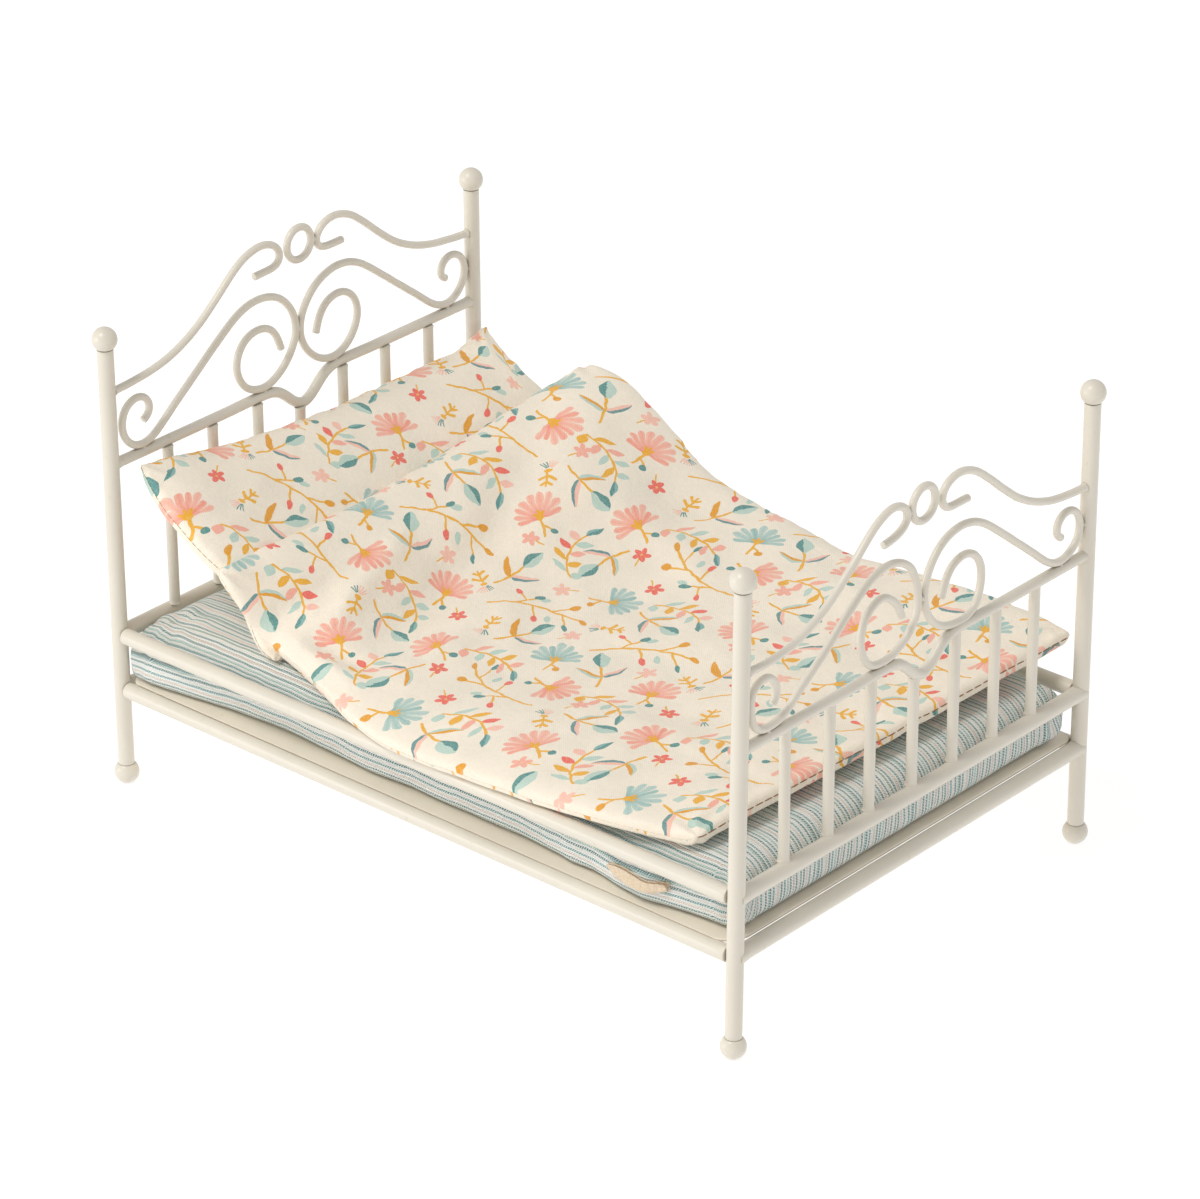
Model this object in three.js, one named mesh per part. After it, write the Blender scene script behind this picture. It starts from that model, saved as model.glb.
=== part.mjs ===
// Miniature metal bed with bedding: a welded wire and tube frame on four ball-ended posts,
// a sheet base, a striped mattress, a leaning pillow and a padded duvet.
// Millimetres. X is the width, Y the length with the head at +Y, Z is up.
// The origin is on the floor under the middle of the frame.
import * as THREE from "three";

// ---- frame ----
const POST_X = 95;            // post axes, half the width between them
const POST_Y = 144.3;         // post axes, half the length between them
const POST_R = 3;             // posts, side rails, lower crossbars
const BALL_R = 4.6;           // finials and feet
const FOOT_FLAT = 0.16;       // ground off the underside of each foot ball
const FINIAL_Z = 177.1;       // centre of each finial
const RAIL_LOW_Z = 38.7;      // axis of the lower rails and bottom crossbars
const RAIL_UP_Z = 60.8;       // axis of the upper rails and spindle crossbars
const TOP_BAR_R = 2;          // top crossbar with its dip
const TOP_BAR_Z = { head: 128, foot: 115.3 };
const DIP = [[0, -9.7], [2.5, -9.0], [4.5, -7.8], [6, -6.6], [8, -4.8], [10, -3.1], [12, -1.7], [14, -0.8], [17, 0]];
const SPINDLE_R = 2;
const SPINDLE_PITCH = 22.65;
const SPINDLE_IN = 0.8;       // spindles sit this far inside the plane of the posts
const WIRE_R = 1.35;          // scroll wire
const RING_R = 6.2;           // centre line of the ring
const RING_H = 53.8;          // ring centre above the top crossbar axis
const GAP = 0.06;             // left between faces that touch

// Scroll wires as [distance from the middle, height above the top crossbar axis].
const ARCH = [[91.9, 28.00], [86.69, 28.34], [81.46, 28.90], [76.24, 29.63], [71.06, 30.59], [65.97, 31.95], [61.01, 33.70],
  [56.23, 35.91], [51.61, 38.46], [47.26, 41.42], [43.07, 44.61], [38.99, 47.94], [34.91, 51.28], [30.72, 54.47], [26.52, 56.97],
  [22.43, 58.43], [19.18, 58.88], [16.14, 58.47], [13.33, 57.38], [11.27, 55.88], [9.85, 54.17], [9.20, 52.30], [9.45, 50.60],
  [10.19, 49.49], [11.45, 48.63], [13.48, 48.12], [17.64, 47.97], [22.92, 48.00]];
const SCROLL = [[8.75, 15.50], [10.70, 20.61], [12.78, 23.75], [15.21, 25.74], [18.10, 26.91], [21.39, 27.19], [24.54, 26.58],
  [27.27, 25.10], [29.52, 22.79], [31.09, 19.85], [31.74, 16.62], [31.44, 13.18], [30.15, 9.78], [28.10, 6.91], [25.52, 4.92],
  [22.31, 3.74], [18.53, 3.46], [14.57, 4.05], [10.92, 5.65], [7.15, 8.56], [4.08, 12.23], [2.25, 15.86], [1.50, 19.29],
  [1.92, 22.98], [3.42, 27.19], [6.10, 31.42], [9.38, 34.74], [13.01, 36.99], [17.17, 38.30], [21.41, 38.58], [26.15, 37.75],
  [31.03, 35.72], [36.02, 32.60], [40.83, 29.19], [45.57, 25.70], [50.23, 22.09], [54.94, 18.56], [59.67, 15.05], [64.36, 11.49],
  [69.03, 7.90], [73.59, 4.98], [77.14, 3.70], [80.43, 3.47], [83.36, 4.15], [86.04, 5.79], [88.32, 8.29], [89.90, 11.38],
  [90.56, 14.60], [90.15, 17.40], [88.97, 19.71], [87.15, 21.45], [84.76, 22.52], [82.19, 22.78], [79.76, 22.15], [77.69, 20.75],
  [76.29, 18.85], [75.71, 16.78], [75.93, 14.88], [76.93, 13.31], [78.97, 12.02]];

// ---- base and bedding ----
const PANEL = { x: 92.95, y: 140.4, top: 42.2, t: 1.2, corner: 10 };
const MATTRESS = { x: 89.6, y: 138.6, bottom: 42.3, top: 67, corner: 13, round: 9.5 };
const TAG = { w: 24, h: 8.6, t: 0.6, y: -100, z: 53.8 };
const PILLOW = { w: 184, l: 82, t: 16, lean: 40, y: 106.4, z: 96.2 };
const DUVET = { x: 98.6, t: 7 };
// Centre line of the duvet as [y, z] from the foot edge to the head edge, at the -X and +X edges.
const DUVET_NEAR = [[-122, 70.9], [-60, 70.9], [0, 70.9], [44, 70.9], [60, 72.6], [69, 77], [76, 84], [82, 92], [88, 99], [98, 105.2]];
const DUVET_FAR = [[-131, 73.5], [-70, 72.5], [-16, 74.5], [12, 81], [28, 89.5], [42, 99.5], [54, 108], [66, 113.6], [76, 115.6], [88, 115.2]];

// ---- materials ----
const paint = (name) => Object.assign(new THREE.MeshStandardMaterial({ color: 0xe9e2d3, roughness: 0.42, metalness: 0 }), { name });
const cloth = (name, color) => Object.assign(new THREE.MeshStandardMaterial({ color, roughness: 0.92, metalness: 0 }), { name });

const bed = new THREE.Group();
bed.name = "miniature_four_poster_bed";

function add(name, geometry, material) {
  const mesh = new THREE.Mesh(geometry, material);
  mesh.name = name;
  bed.add(mesh);
}

function solid(positions, indices) {
  const g = new THREE.BufferGeometry();
  g.setAttribute("position", new THREE.Float32BufferAttribute(positions, 3));
  g.setIndex(indices);
  g.computeVertexNormals();
  return g;
}

// A closed round bar along a line of [x, y, z] points. Its section stays square to the line in the plane set by `side`.
function bar(points, radius, sides, side = new THREE.Vector3(0, 1, 0), closed = false) {
  const P = points.map((p) => new THREE.Vector3(...p));
  const n = P.length, pos = [], idx = [];
  for (let i = 0; i < n; i++) {
    const a = P[closed ? (i + n - 1) % n : Math.max(i - 1, 0)], b = P[closed ? (i + 1) % n : Math.min(i + 1, n - 1)];
    const t = b.clone().sub(a).normalize();
    const u = new THREE.Vector3().crossVectors(side, t).normalize();
    const v = new THREE.Vector3().crossVectors(t, u).normalize();
    for (let k = 0; k < sides; k++) {
      const w = (2 * Math.PI * (k + 0.5)) / sides;
      const q = P[i].clone().addScaledVector(u, radius * Math.cos(w)).addScaledVector(v, radius * Math.sin(w));
      pos.push(q.x, q.y, q.z);
    }
  }
  const rows = closed ? n : n - 1;
  for (let i = 0; i < rows; i++) for (let k = 0; k < sides; k++) {
    const a = i * sides + k, b = i * sides + ((k + 1) % sides), j = ((i + 1) % n) * sides;
    const c = j + k, d = j + ((k + 1) % sides);
    idx.push(a, b, d, a, d, c);
  }
  if (!closed) {
    const s = pos.length / 3;
    pos.push(P[0].x, P[0].y, P[0].z, P[n - 1].x, P[n - 1].y, P[n - 1].z);
    const last = (n - 1) * sides;
    for (let k = 0; k < sides; k++) {
      const m = (k + 1) % sides;
      idx.push(s, m, k, s + 1, last + k, last + m);
    }
  }
  return solid(pos, idx);
}

// Smooth [a, b] polyline resampled with more points where it bends.
function smooth(points, step) {
  const c = new THREE.CatmullRomCurve3(points.map(([a, b]) => new THREE.Vector3(a, b, 0)), false, "centripetal");
  const out = [], N = Math.max(2, Math.round(c.getLength() / step));
  for (let i = 0; i <= N; i++) { const p = c.getPointAt(i / N); out.push([p.x, p.y]); }
  return out;
}

// ---- balls ----
const seat = Math.sqrt(BALL_R ** 2 - POST_R ** 2); // distance from the ball's centre to its flat on the tube end
function ball(x, y, z, flatUp, flatDown, material, name) {
  const rows = 8, prof = [];
  const top = flatUp ? Math.asin(flatUp / BALL_R) : Math.PI / 2;
  const low = flatDown ? -Math.asin(flatDown / BALL_R) : -Math.PI / 2;
  if (flatDown) prof.push(new THREE.Vector2(0, -flatDown));
  for (let i = 0; i <= rows; i++) {
    const a = low + ((top - low) * i) / rows;
    prof.push(new THREE.Vector2(Math.abs(a) === Math.PI / 2 ? 0 : BALL_R * Math.cos(a), BALL_R * Math.sin(a)));
  }
  if (flatUp) prof.push(new THREE.Vector2(0, flatUp));
  const g = new THREE.LatheGeometry(prof, 16);
  g.rotateX(Math.PI / 2);
  g.translate(x, y, z);
  add(name, g, material);
}

// ---- posts ----
const footZ = BALL_R - FOOT_FLAT;
const corners = [["head", "left", -1, 1], ["head", "right", 1, 1], ["foot", "left", -1, -1], ["foot", "right", 1, -1]];
for (const [end, side, sx, sy] of corners) {
  const x = sx * POST_X, y = sy * POST_Y;
  add(`post_${end}_${side}`, bar([[x, y, footZ + seat + GAP / 3], [x, y, FINIAL_Z - seat - GAP / 3]], POST_R, 16), paint("painted_post"));
  ball(x, y, FINIAL_Z, 0, seat, paint("painted_finial"), `finial_${end}_${side}`);
  ball(x, y, footZ, seat, footZ, paint("painted_foot"), `foot_ball_${end}_${side}`);
}

// ---- side rails ----
const railY = POST_Y - POST_R - GAP;
for (const [level, z] of [["upper", RAIL_UP_Z], ["lower", RAIL_LOW_Z]]) for (const [side, sx] of [["left", -1], ["right", 1]])
  add(`side_rail_${level}_${side}`, bar([[sx * POST_X, -railY, z], [sx * POST_X, railY, z]], POST_R, 16, new THREE.Vector3(1, 0, 0)), paint("painted_side_rail"));

// ---- end panels ----
const barX = POST_X - POST_R - GAP;
for (const [end, sy] of [["head", 1], ["foot", -1]]) {
  const y = sy * POST_Y, top = TOP_BAR_Z[end];
  add(`${end}_crossbar_bottom`, bar([[-barX, y, RAIL_LOW_Z], [barX, y, RAIL_LOW_Z]], POST_R, 16), paint("painted_crossbar"));
  add(`${end}_crossbar_spindle`, bar([[-barX, y, RAIL_UP_Z], [barX, y, RAIL_UP_Z]], POST_R, 16), paint("painted_crossbar"));
  const half = smooth(DIP, 1.9);
  const line = [[-barX, 0], ...half.slice(1).reverse().map(([d, h]) => [-d, h]), ...half, [barX, 0]];
  add(`${end}_crossbar_top`, bar(line.map(([x, h]) => [x, y, top + h]), TOP_BAR_R, 12), paint("painted_crossbar"));
  for (let i = -3; i <= 3; i++) {
    const x = i * SPINDLE_PITCH, yy = y - sy * SPINDLE_IN;
    const z1 = top - TOP_BAR_R - GAP + (i === 0 ? DIP[0][1] : 0);
    add(`${end}_spindle_${i + 4}`, bar([[x, yy, RAIL_UP_Z + POST_R + GAP], [x, yy, z1]], SPINDLE_R, 12), paint("painted_spindle"));
  }
  for (const [side, sx] of [["left", -1], ["right", 1]]) {
    add(`${end}_arch_wire_${side}`, bar(smooth(ARCH, 3.9).map(([d, h]) => [sx * d, y, top + h]), WIRE_R, 8), paint("painted_wire"));
    add(`${end}_scroll_wire_${side}`, bar(smooth(SCROLL, 3.7).map(([d, h]) => [sx * d, y, top + h]), WIRE_R, 8), paint("painted_wire"));
  }
  const ring = [];
  for (let i = 0; i < 24; i++) { const a = (2 * Math.PI * i) / 24; ring.push([RING_R * Math.cos(a), y, top + RING_H + RING_R * Math.sin(a)]); }
  add(`${end}_ring`, bar(ring, WIRE_R, 8, new THREE.Vector3(0, 1, 0), true), paint("painted_wire"));
}

// ---- base panel ----
function roundedPlan(x, y, r, n) {
  const out = [];
  for (const [cx, cy, a0] of [[x - r, y - r, 0], [-x + r, y - r, 90], [-x + r, -y + r, 180], [x - r, -y + r, 270]])
    for (let i = 0; i <= n; i++) { const a = ((a0 + (90 * i) / n) * Math.PI) / 180; out.push([cx + r * Math.cos(a), cy + r * Math.sin(a)]); }
  return out;
}
function stack(rings) { // closed solid from plan rings, lowest first, each {plan, z}
  const n = rings[0].plan.length, pos = [], idx = [];
  for (const { plan, z } of rings) for (const [x, y] of plan) pos.push(x, y, z);
  for (let i = 0; i + 1 < rings.length; i++) for (let k = 0; k < n; k++) {
    const a = i * n + k, b = i * n + ((k + 1) % n), c = a + n, d = b + n;
    idx.push(a, b, d, a, d, c);
  }
  const s = pos.length / 3, L = (rings.length - 1) * n;
  pos.push(0, 0, rings[0].z, 0, 0, rings[rings.length - 1].z);
  for (let k = 0; k < n; k++) { const m = (k + 1) % n; idx.push(s, m, k, s + 1, L + k, L + m); }
  return solid(pos, idx);
}
add("base_panel", stack([PANEL.top - PANEL.t, PANEL.top].map((z) => ({ plan: roundedPlan(PANEL.x, PANEL.y, PANEL.corner, 6), z }))), paint("painted_sheet"));

// ---- mattress ----
{
  const rings = [], R = MATTRESS.round, mid = [MATTRESS.bottom + R, MATTRESS.top - R];
  for (const [s, zc] of [[-1, mid[0]], [1, mid[1]]]) for (let i = 0; i <= 4; i++) {
    const a = ((s < 0 ? 90 - 22.5 * i : 22.5 * i) * Math.PI) / 180, inset = R * (1 - Math.cos(a));
    rings.push({ plan: roundedPlan(MATTRESS.x - inset, MATTRESS.y - inset, MATTRESS.corner - inset * 0.8, 6), z: zc + s * R * Math.sin(a) });
  }
  add("mattress", stack(rings), cloth("striped_cloth", 0xa9c6c8));
  const x0 = -MATTRESS.x - GAP, { w, h, t, y, z } = TAG;
  const g = new THREE.BoxGeometry(t, w, h);
  g.translate(x0 - t / 2, y, z);
  add("mattress_tag", g, cloth("tag_cloth", 0xd8c3a0));
}

// A closed pad: two skins that meet on one edge line. place(u, v, h) puts the point at plan (u, v) in -1..1 and height h in -1..1.
function pad(nu, nv, place) {
  const pos = [], idx = [], id = (i, j, top) => {
    const edge = i === 0 || j === 0 || i === nu || j === nv;
    return top && !edge ? upper[j * (nu + 1) + i] : lower[j * (nu + 1) + i];
  };
  const lower = [], upper = [];
  const fill = (u, v) => Math.pow(Math.max(0, (1 - u ** 4) * (1 - v ** 4)), 0.42);
  for (const [list, s] of [[lower, -1], [upper, 1]]) for (let j = 0; j <= nv; j++) for (let i = 0; i <= nu; i++) {
    const edge = i === 0 || j === 0 || i === nu || j === nv;
    if (s > 0 && edge) { list.push(-1); continue; }
    const soft = (q) => Math.sin((q * Math.PI) / 2) * 0.55 + q * 0.45; // closer rows near the edge
    const u = soft((2 * i) / nu - 1), v = soft((2 * j) / nv - 1);
    const p = place(u, v, s * fill(u, v));
    list.push(pos.length / 3);
    pos.push(p[0], p[1], p[2]);
  }
  for (let j = 0; j < nv; j++) for (let i = 0; i < nu; i++) {
    const q = [id(i, j, 1), id(i + 1, j, 1), id(i + 1, j + 1, 1), id(i, j + 1, 1)];
    idx.push(q[0], q[1], q[2], q[0], q[2], q[3]);
    const w = [id(i, j, 0), id(i + 1, j, 0), id(i + 1, j + 1, 0), id(i, j + 1, 0)];
    idx.push(w[0], w[2], w[1], w[0], w[3], w[2]);
  }
  return solid(pos, idx);
}

// ---- pillow: leans back on the head spindles, with its corners drawn out ----
{
  const { w, l, t, lean, y, z } = PILLOW, a = (lean * Math.PI) / 180;
  const along = [Math.cos(a), Math.sin(a)], out = [-Math.sin(a), Math.cos(a)];
  add("pillow", pad(14, 10, (u, v, h) => {
    const x = (w / 2) * u * (1 - 0.045 * (1 - v * v)), b = (l / 2) * v * (1 - 0.1 * (1 - u * u)), n = (h * t) / 2;
    return [x, y + b * along[0] + n * out[0], z + b * along[1] + n * out[1]];
  }), cloth("printed_cloth", 0xf0e6d6));
}

// ---- duvet: flat on the mattress, climbing the pillow towards the head and lifted along the +X side ----
{
  const lines = [DUVET_NEAR, DUVET_FAR].map((p) => new THREE.CatmullRomCurve3(p.map(([y, z]) => new THREE.Vector3(0, y, z)), false, "centripetal"));
  const rise = (x) => { const k = (x / DUVET.x + 1) / 2; return k * k * (3 - 2 * k); };
  add("duvet", pad(12, 26, (u, v, h) => {
    const s = (v + 1) / 2, k = rise(u * DUVET.x), a = lines[0].getPointAt(s), b = lines[1].getPointAt(s);
    const p = a.clone().lerp(b, k), t = lines[0].getTangentAt(s).lerp(lines[1].getTangentAt(s), k).normalize();
    const n = (h * DUVET.t) / 2;
    return [u * DUVET.x, p.y - t.z * n, p.z + t.y * n];
  }), cloth("printed_cloth", 0xf2e9da));
}

export default bed;
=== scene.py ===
import math

import bpy
import numpy as np
from mathutils import Matrix, Vector


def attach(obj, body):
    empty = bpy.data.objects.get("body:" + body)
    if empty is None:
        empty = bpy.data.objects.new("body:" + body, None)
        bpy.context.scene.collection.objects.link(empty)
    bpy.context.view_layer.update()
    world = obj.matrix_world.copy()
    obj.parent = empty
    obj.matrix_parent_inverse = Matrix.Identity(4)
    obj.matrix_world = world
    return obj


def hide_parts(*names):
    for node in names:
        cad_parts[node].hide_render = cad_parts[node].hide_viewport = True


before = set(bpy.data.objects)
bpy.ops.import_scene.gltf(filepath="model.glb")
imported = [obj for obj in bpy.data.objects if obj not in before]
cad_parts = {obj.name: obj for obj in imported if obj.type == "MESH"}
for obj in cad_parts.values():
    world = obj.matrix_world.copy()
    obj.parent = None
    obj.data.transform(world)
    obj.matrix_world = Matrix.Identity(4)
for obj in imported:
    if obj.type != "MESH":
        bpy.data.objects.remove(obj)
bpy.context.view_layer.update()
scene = bpy.context.scene
MM = 0.001

# ------------------------------------------------------------------ camera
# Solved from the eight balls and the rails: position, turn and focal length of the photograph.
AZ, EL, ROLL = math.radians(-48.638), math.radians(27.291), math.radians(-0.305)
cam_data = bpy.data.cameras.new("camera")
cam = bpy.data.objects.new("camera", cam_data)
scene.collection.objects.link(cam)
back = Vector((math.sin(AZ) * math.cos(EL), -math.cos(AZ) * math.cos(EL), math.sin(EL)))
x0 = Vector((0, 0, 1)).cross(back).normalized()
y0 = back.cross(x0)
xr = math.cos(ROLL) * x0 + math.sin(ROLL) * y0
yr = -math.sin(ROLL) * x0 + math.cos(ROLL) * y0
cam.matrix_world = Matrix((
    (xr.x, yr.x, back.x, -1.2469),
    (xr.y, yr.y, back.y, -1.1004),
    (xr.z, yr.z, back.z, 0.9440),
    (0, 0, 0, 1)))
cam_data.sensor_width = 36
cam_data.lens = 158.58
cam_data.clip_start = 0.05
cam_data.clip_end = 50
scene.camera = cam


# ------------------------------------------------------------------ node helper
class Graph:
    """Short forms for building one material's nodes."""

    def __init__(self, name):
        self.mat = bpy.data.materials.new(name)
        self.mat.use_nodes = True
        self.n, self.l = self.mat.node_tree.nodes, self.mat.node_tree.links
        self.bsdf = next(x for x in self.n if x.type == "BSDF_PRINCIPLED")

    def put(self, sock, v):
        if isinstance(v, bpy.types.NodeSocket):
            self.l.new(v, sock)
        elif v is not None:
            sock.default_value = v

    def m(self, op, a, b=None, c=None, clamp=False):
        n = self.n.new("ShaderNodeMath")
        n.operation, n.use_clamp = op, clamp
        for s, v in zip(n.inputs, (a, b, c)):
            self.put(s, v)
        return n.outputs[0]

    def v(self, op, a, b=None, c=None, scale=None):
        n = self.n.new("ShaderNodeVectorMath")
        n.operation = op
        for s, x in zip(n.inputs, (a, b, c)):
            self.put(s, x)
        if scale is not None:
            self.put(n.inputs["Scale"], scale)
        return n.outputs["Value"] if op in ("LENGTH", "DOT_PRODUCT", "DISTANCE") else n.outputs["Vector"]

    def _mix(self, kind, k, f, a, b, blend=None):
        n = self.n.new("ShaderNodeMix")
        n.data_type = kind
        if blend:
            n.blend_type = blend
        self.put(n.inputs[0], f)
        self.put(n.inputs[k], a)
        self.put(n.inputs[k + 1], b)
        return n.outputs[{2: 0, 4: 1, 6: 2}[k]]

    def mixf(self, f, a, b):
        return self._mix("FLOAT", 2, f, a, b)

    def mixv(self, f, a, b):
        return self._mix("VECTOR", 4, f, a, b)

    def mix(self, f, a, b, blend=None):
        return self._mix("RGBA", 6, f, a, b, blend)

    def xyz(self, v):
        n = self.n.new("ShaderNodeSeparateXYZ")
        self.put(n.inputs[0], v)
        return n.outputs[0], n.outputs[1], n.outputs[2]

    def vec(self, x=0.0, y=0.0, z=0.0):
        n = self.n.new("ShaderNodeCombineXYZ")
        for s, v in zip(n.inputs, (x, y, z)):
            self.put(s, v)
        return n.outputs[0]

    def place(self, v, loc=(0, 0), rot=0.0, size=(1, 1)):
        """Coordinates in a frame at loc, turned by rot, with its axes size long."""
        n = self.n.new("ShaderNodeMapping")
        n.vector_type = "TEXTURE"
        self.put(n.inputs["Vector"], v)
        n.inputs["Location"].default_value = (loc[0], loc[1], 0)
        n.inputs["Rotation"].default_value = (0, 0, rot)
        n.inputs["Scale"].default_value = (size[0], size[1], 1)
        return n.outputs[0]

    def ramp(self, v, a, b, lo=0.0, hi=1.0, smooth=False):
        n = self.n.new("ShaderNodeMapRange")
        n.interpolation_type = "SMOOTHSTEP" if smooth else "LINEAR"
        self.put(n.inputs[0], v)
        for i, x in zip((1, 2, 3, 4), (a, b, lo, hi)):
            self.put(n.inputs[i], x)
        return n.outputs[0]

    def noise(self, v, scale, detail=2.0, rough=0.5, dims="3D", color=False):
        n = self.n.new("ShaderNodeTexNoise")
        n.noise_dimensions = dims
        self.put(n.inputs["Vector"], v)
        n.inputs["Scale"].default_value = scale
        n.inputs["Detail"].default_value = detail
        n.inputs["Roughness"].default_value = rough
        return n.outputs[1 if color else 0]

    def stops(self, v, colors, constant=True):
        n = self.n.new("ShaderNodeValToRGB")
        self.put(n.inputs[0], v)
        e = n.color_ramp.elements
        n.color_ramp.interpolation = "CONSTANT" if constant else "LINEAR"
        while len(e) > 1:
            e.remove(e[-1])
        for i, c in enumerate(colors):
            x = e[0] if i == 0 else e.new(i / len(colors) if constant else i / (len(colors) - 1))
            x.position = i / len(colors) if constant else i / (len(colors) - 1)
            x.color = (*c, 1)
        return n.outputs[0]

    def bump(self, height, strength, distance, normal=None):
        n = self.n.new("ShaderNodeBump")
        n.inputs["Strength"].default_value = strength
        n.inputs["Distance"].default_value = distance
        self.put(n.inputs["Height"], height)
        self.put(n.inputs["Normal"], normal)
        return n.outputs[0]

    def out(self, **kw):
        for k, v in kw.items():
            self.put(self.bsdf.inputs[k.replace("_", " ")], v)
        return self.mat

    def object_coords(self):
        return self.n.new("ShaderNodeTexCoord").outputs["Object"]

    def uv(self):
        return self.n.new("ShaderNodeTexCoord").outputs["UV"]


def lin(r, g, b):
    f = lambda c: c / 12.92 if c <= 0.04045 else ((c + 0.055) / 1.055) ** 2.4
    return (f(r / 255), f(g / 255), f(b / 255))


def rgba(r, g, b):
    return (*lin(r, g, b), 1)


# ------------------------------------------------------------------ paint
def paint_material(name, base=(224, 217, 203), seams=(), crevice_shade=0.62):
    g = Graph(name)
    p = g.object_coords()
    big = g.noise(p, 38.0, 3.0, 0.55)
    fine = g.noise(p, 900.0, 2.0, 0.6)
    peel = g.noise(p, 420.0, 1.5, 0.5)
    col = g.mix(g.ramp(big, 0.3, 0.7), rgba(*[c - 5 for c in base]), rgba(*base))
    # painted shade: the paint is darkened and greyed where bars meet, from ambient occlusion
    ao = g.n.new("ShaderNodeAmbientOcclusion")
    ao.samples, ao.inputs["Distance"].default_value = 6, 0.0013
    near = g.ramp(ao.outputs["AO"], 0.25, 0.80, 1.0, 0.0)
    col = g.mix(g.m("MULTIPLY", near, crevice_shade), col, rgba(140, 130, 108))
    # painted shade in concave creases, from low pointiness
    geo = g.n.new("ShaderNodeNewGeometry")
    point = g.ramp(geo.outputs["Pointiness"], 0.42, 0.49, 1.0, 0.0)
    col = g.mix(g.m("MULTIPLY", point, 0.30), col, rgba(160, 150, 128))
    speck = g.ramp(g.noise(p, 260.0, 2.0, 0.5), 0.70, 0.74)
    col = g.mix(g.m("MULTIPLY", speck, 0.20), col, rgba(196, 184, 160))
    # painted shadow: dark rings at the given heights where the balls meet the posts
    if seams:
        z = g.xyz(p)[2]
        wave = g.m("MULTIPLY", g.m("SUBTRACT", g.noise(p, 300.0, 2.0), 0.5), 0.00030)
        z = g.m("ADD", z, wave)
        for at, half, k in seams:
            d = g.m("ABSOLUTE", g.m("SUBTRACT", z, at * MM))
            col = g.mix(g.m("MULTIPLY", g.ramp(d, half * MM * 0.4, half * MM, 1.0, 0.0, True), k), col, rgba(112, 102, 84))
    rough = g.ramp(big, 0.25, 0.75, 0.32, 0.42)
    n = g.bump(peel, 0.26, 0.00022)
    n = g.bump(fine, 0.10, 0.00006, n)
    return g.out(Base_Color=col, Roughness=rough, Normal=n, Coat_Weight=0.22, Coat_Roughness=0.25, IOR=1.46)


# ------------------------------------------------------------------ printed cloth
LAYOUT = {
    "FAN": [(18.9, 78.4, 5.95), (41.0, 54.2, 6.12), (11.0, 28.0, 3.84), (68.2, 74.3, 5.06), (48.2, 3.5, 3.14), (65.4, 20.5, 5.22)],
    "TRIO": [(65.8, 37.3, 4.42), (65.3, 1.9, 5.46), (22.9, 47.7, 1.53), (88.0, 63.4, 4.74), (36.5, 74.0, 3.2), (7.0, 11.5, 2.96)],
    "SPRIG": [(18.9, 6.9, 4.51), (51.6, 75.5, 4.34), (51.0, 31.5, 4.69), (16.9, 58.6, 0.39)],
    "BRANCH": [(84.7, 0.7, 4.91), (81.6, 44.7, 4.87), (35.1, 19.7, 1.06)],
    "FIVE": [(22.9, 25.6, 2.39), (76.8, 25.1, 4.21), (45.8, 84.0, 4.23), (58.4, 60.3, 2.34), (1.7, 47.0, 0.55), (9.4, 70.9, 0.19), (33.2, 41.4, 4.94), (74.7, 83.5, 4.46)],
    "TUFT": [(76.7, 67.9, 5.81), (61.1, 48.2, 4.94), (31.2, 85.4, 2.24), (86.8, 19.9, 3.58)],
}
TILE = 92.0
CORAL, CORAL_DEEP, PINK = rgba(248, 178, 158), rgba(242, 112, 98), rgba(250, 196, 178)
TEAL_DEEP, TEAL, TEAL_PALE = rgba(88, 148, 146), rgba(128, 180, 176), rgba(190, 214, 202)
MUSTARD, MUSTARD_DEEP = rgba(241, 178, 50), rgba(232, 160, 36)
CREAM = rgba(249, 238, 220)
PRINT_SCALE = 1.13
EDGE = 0.07  # half width of an edge of the print, mm


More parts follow.
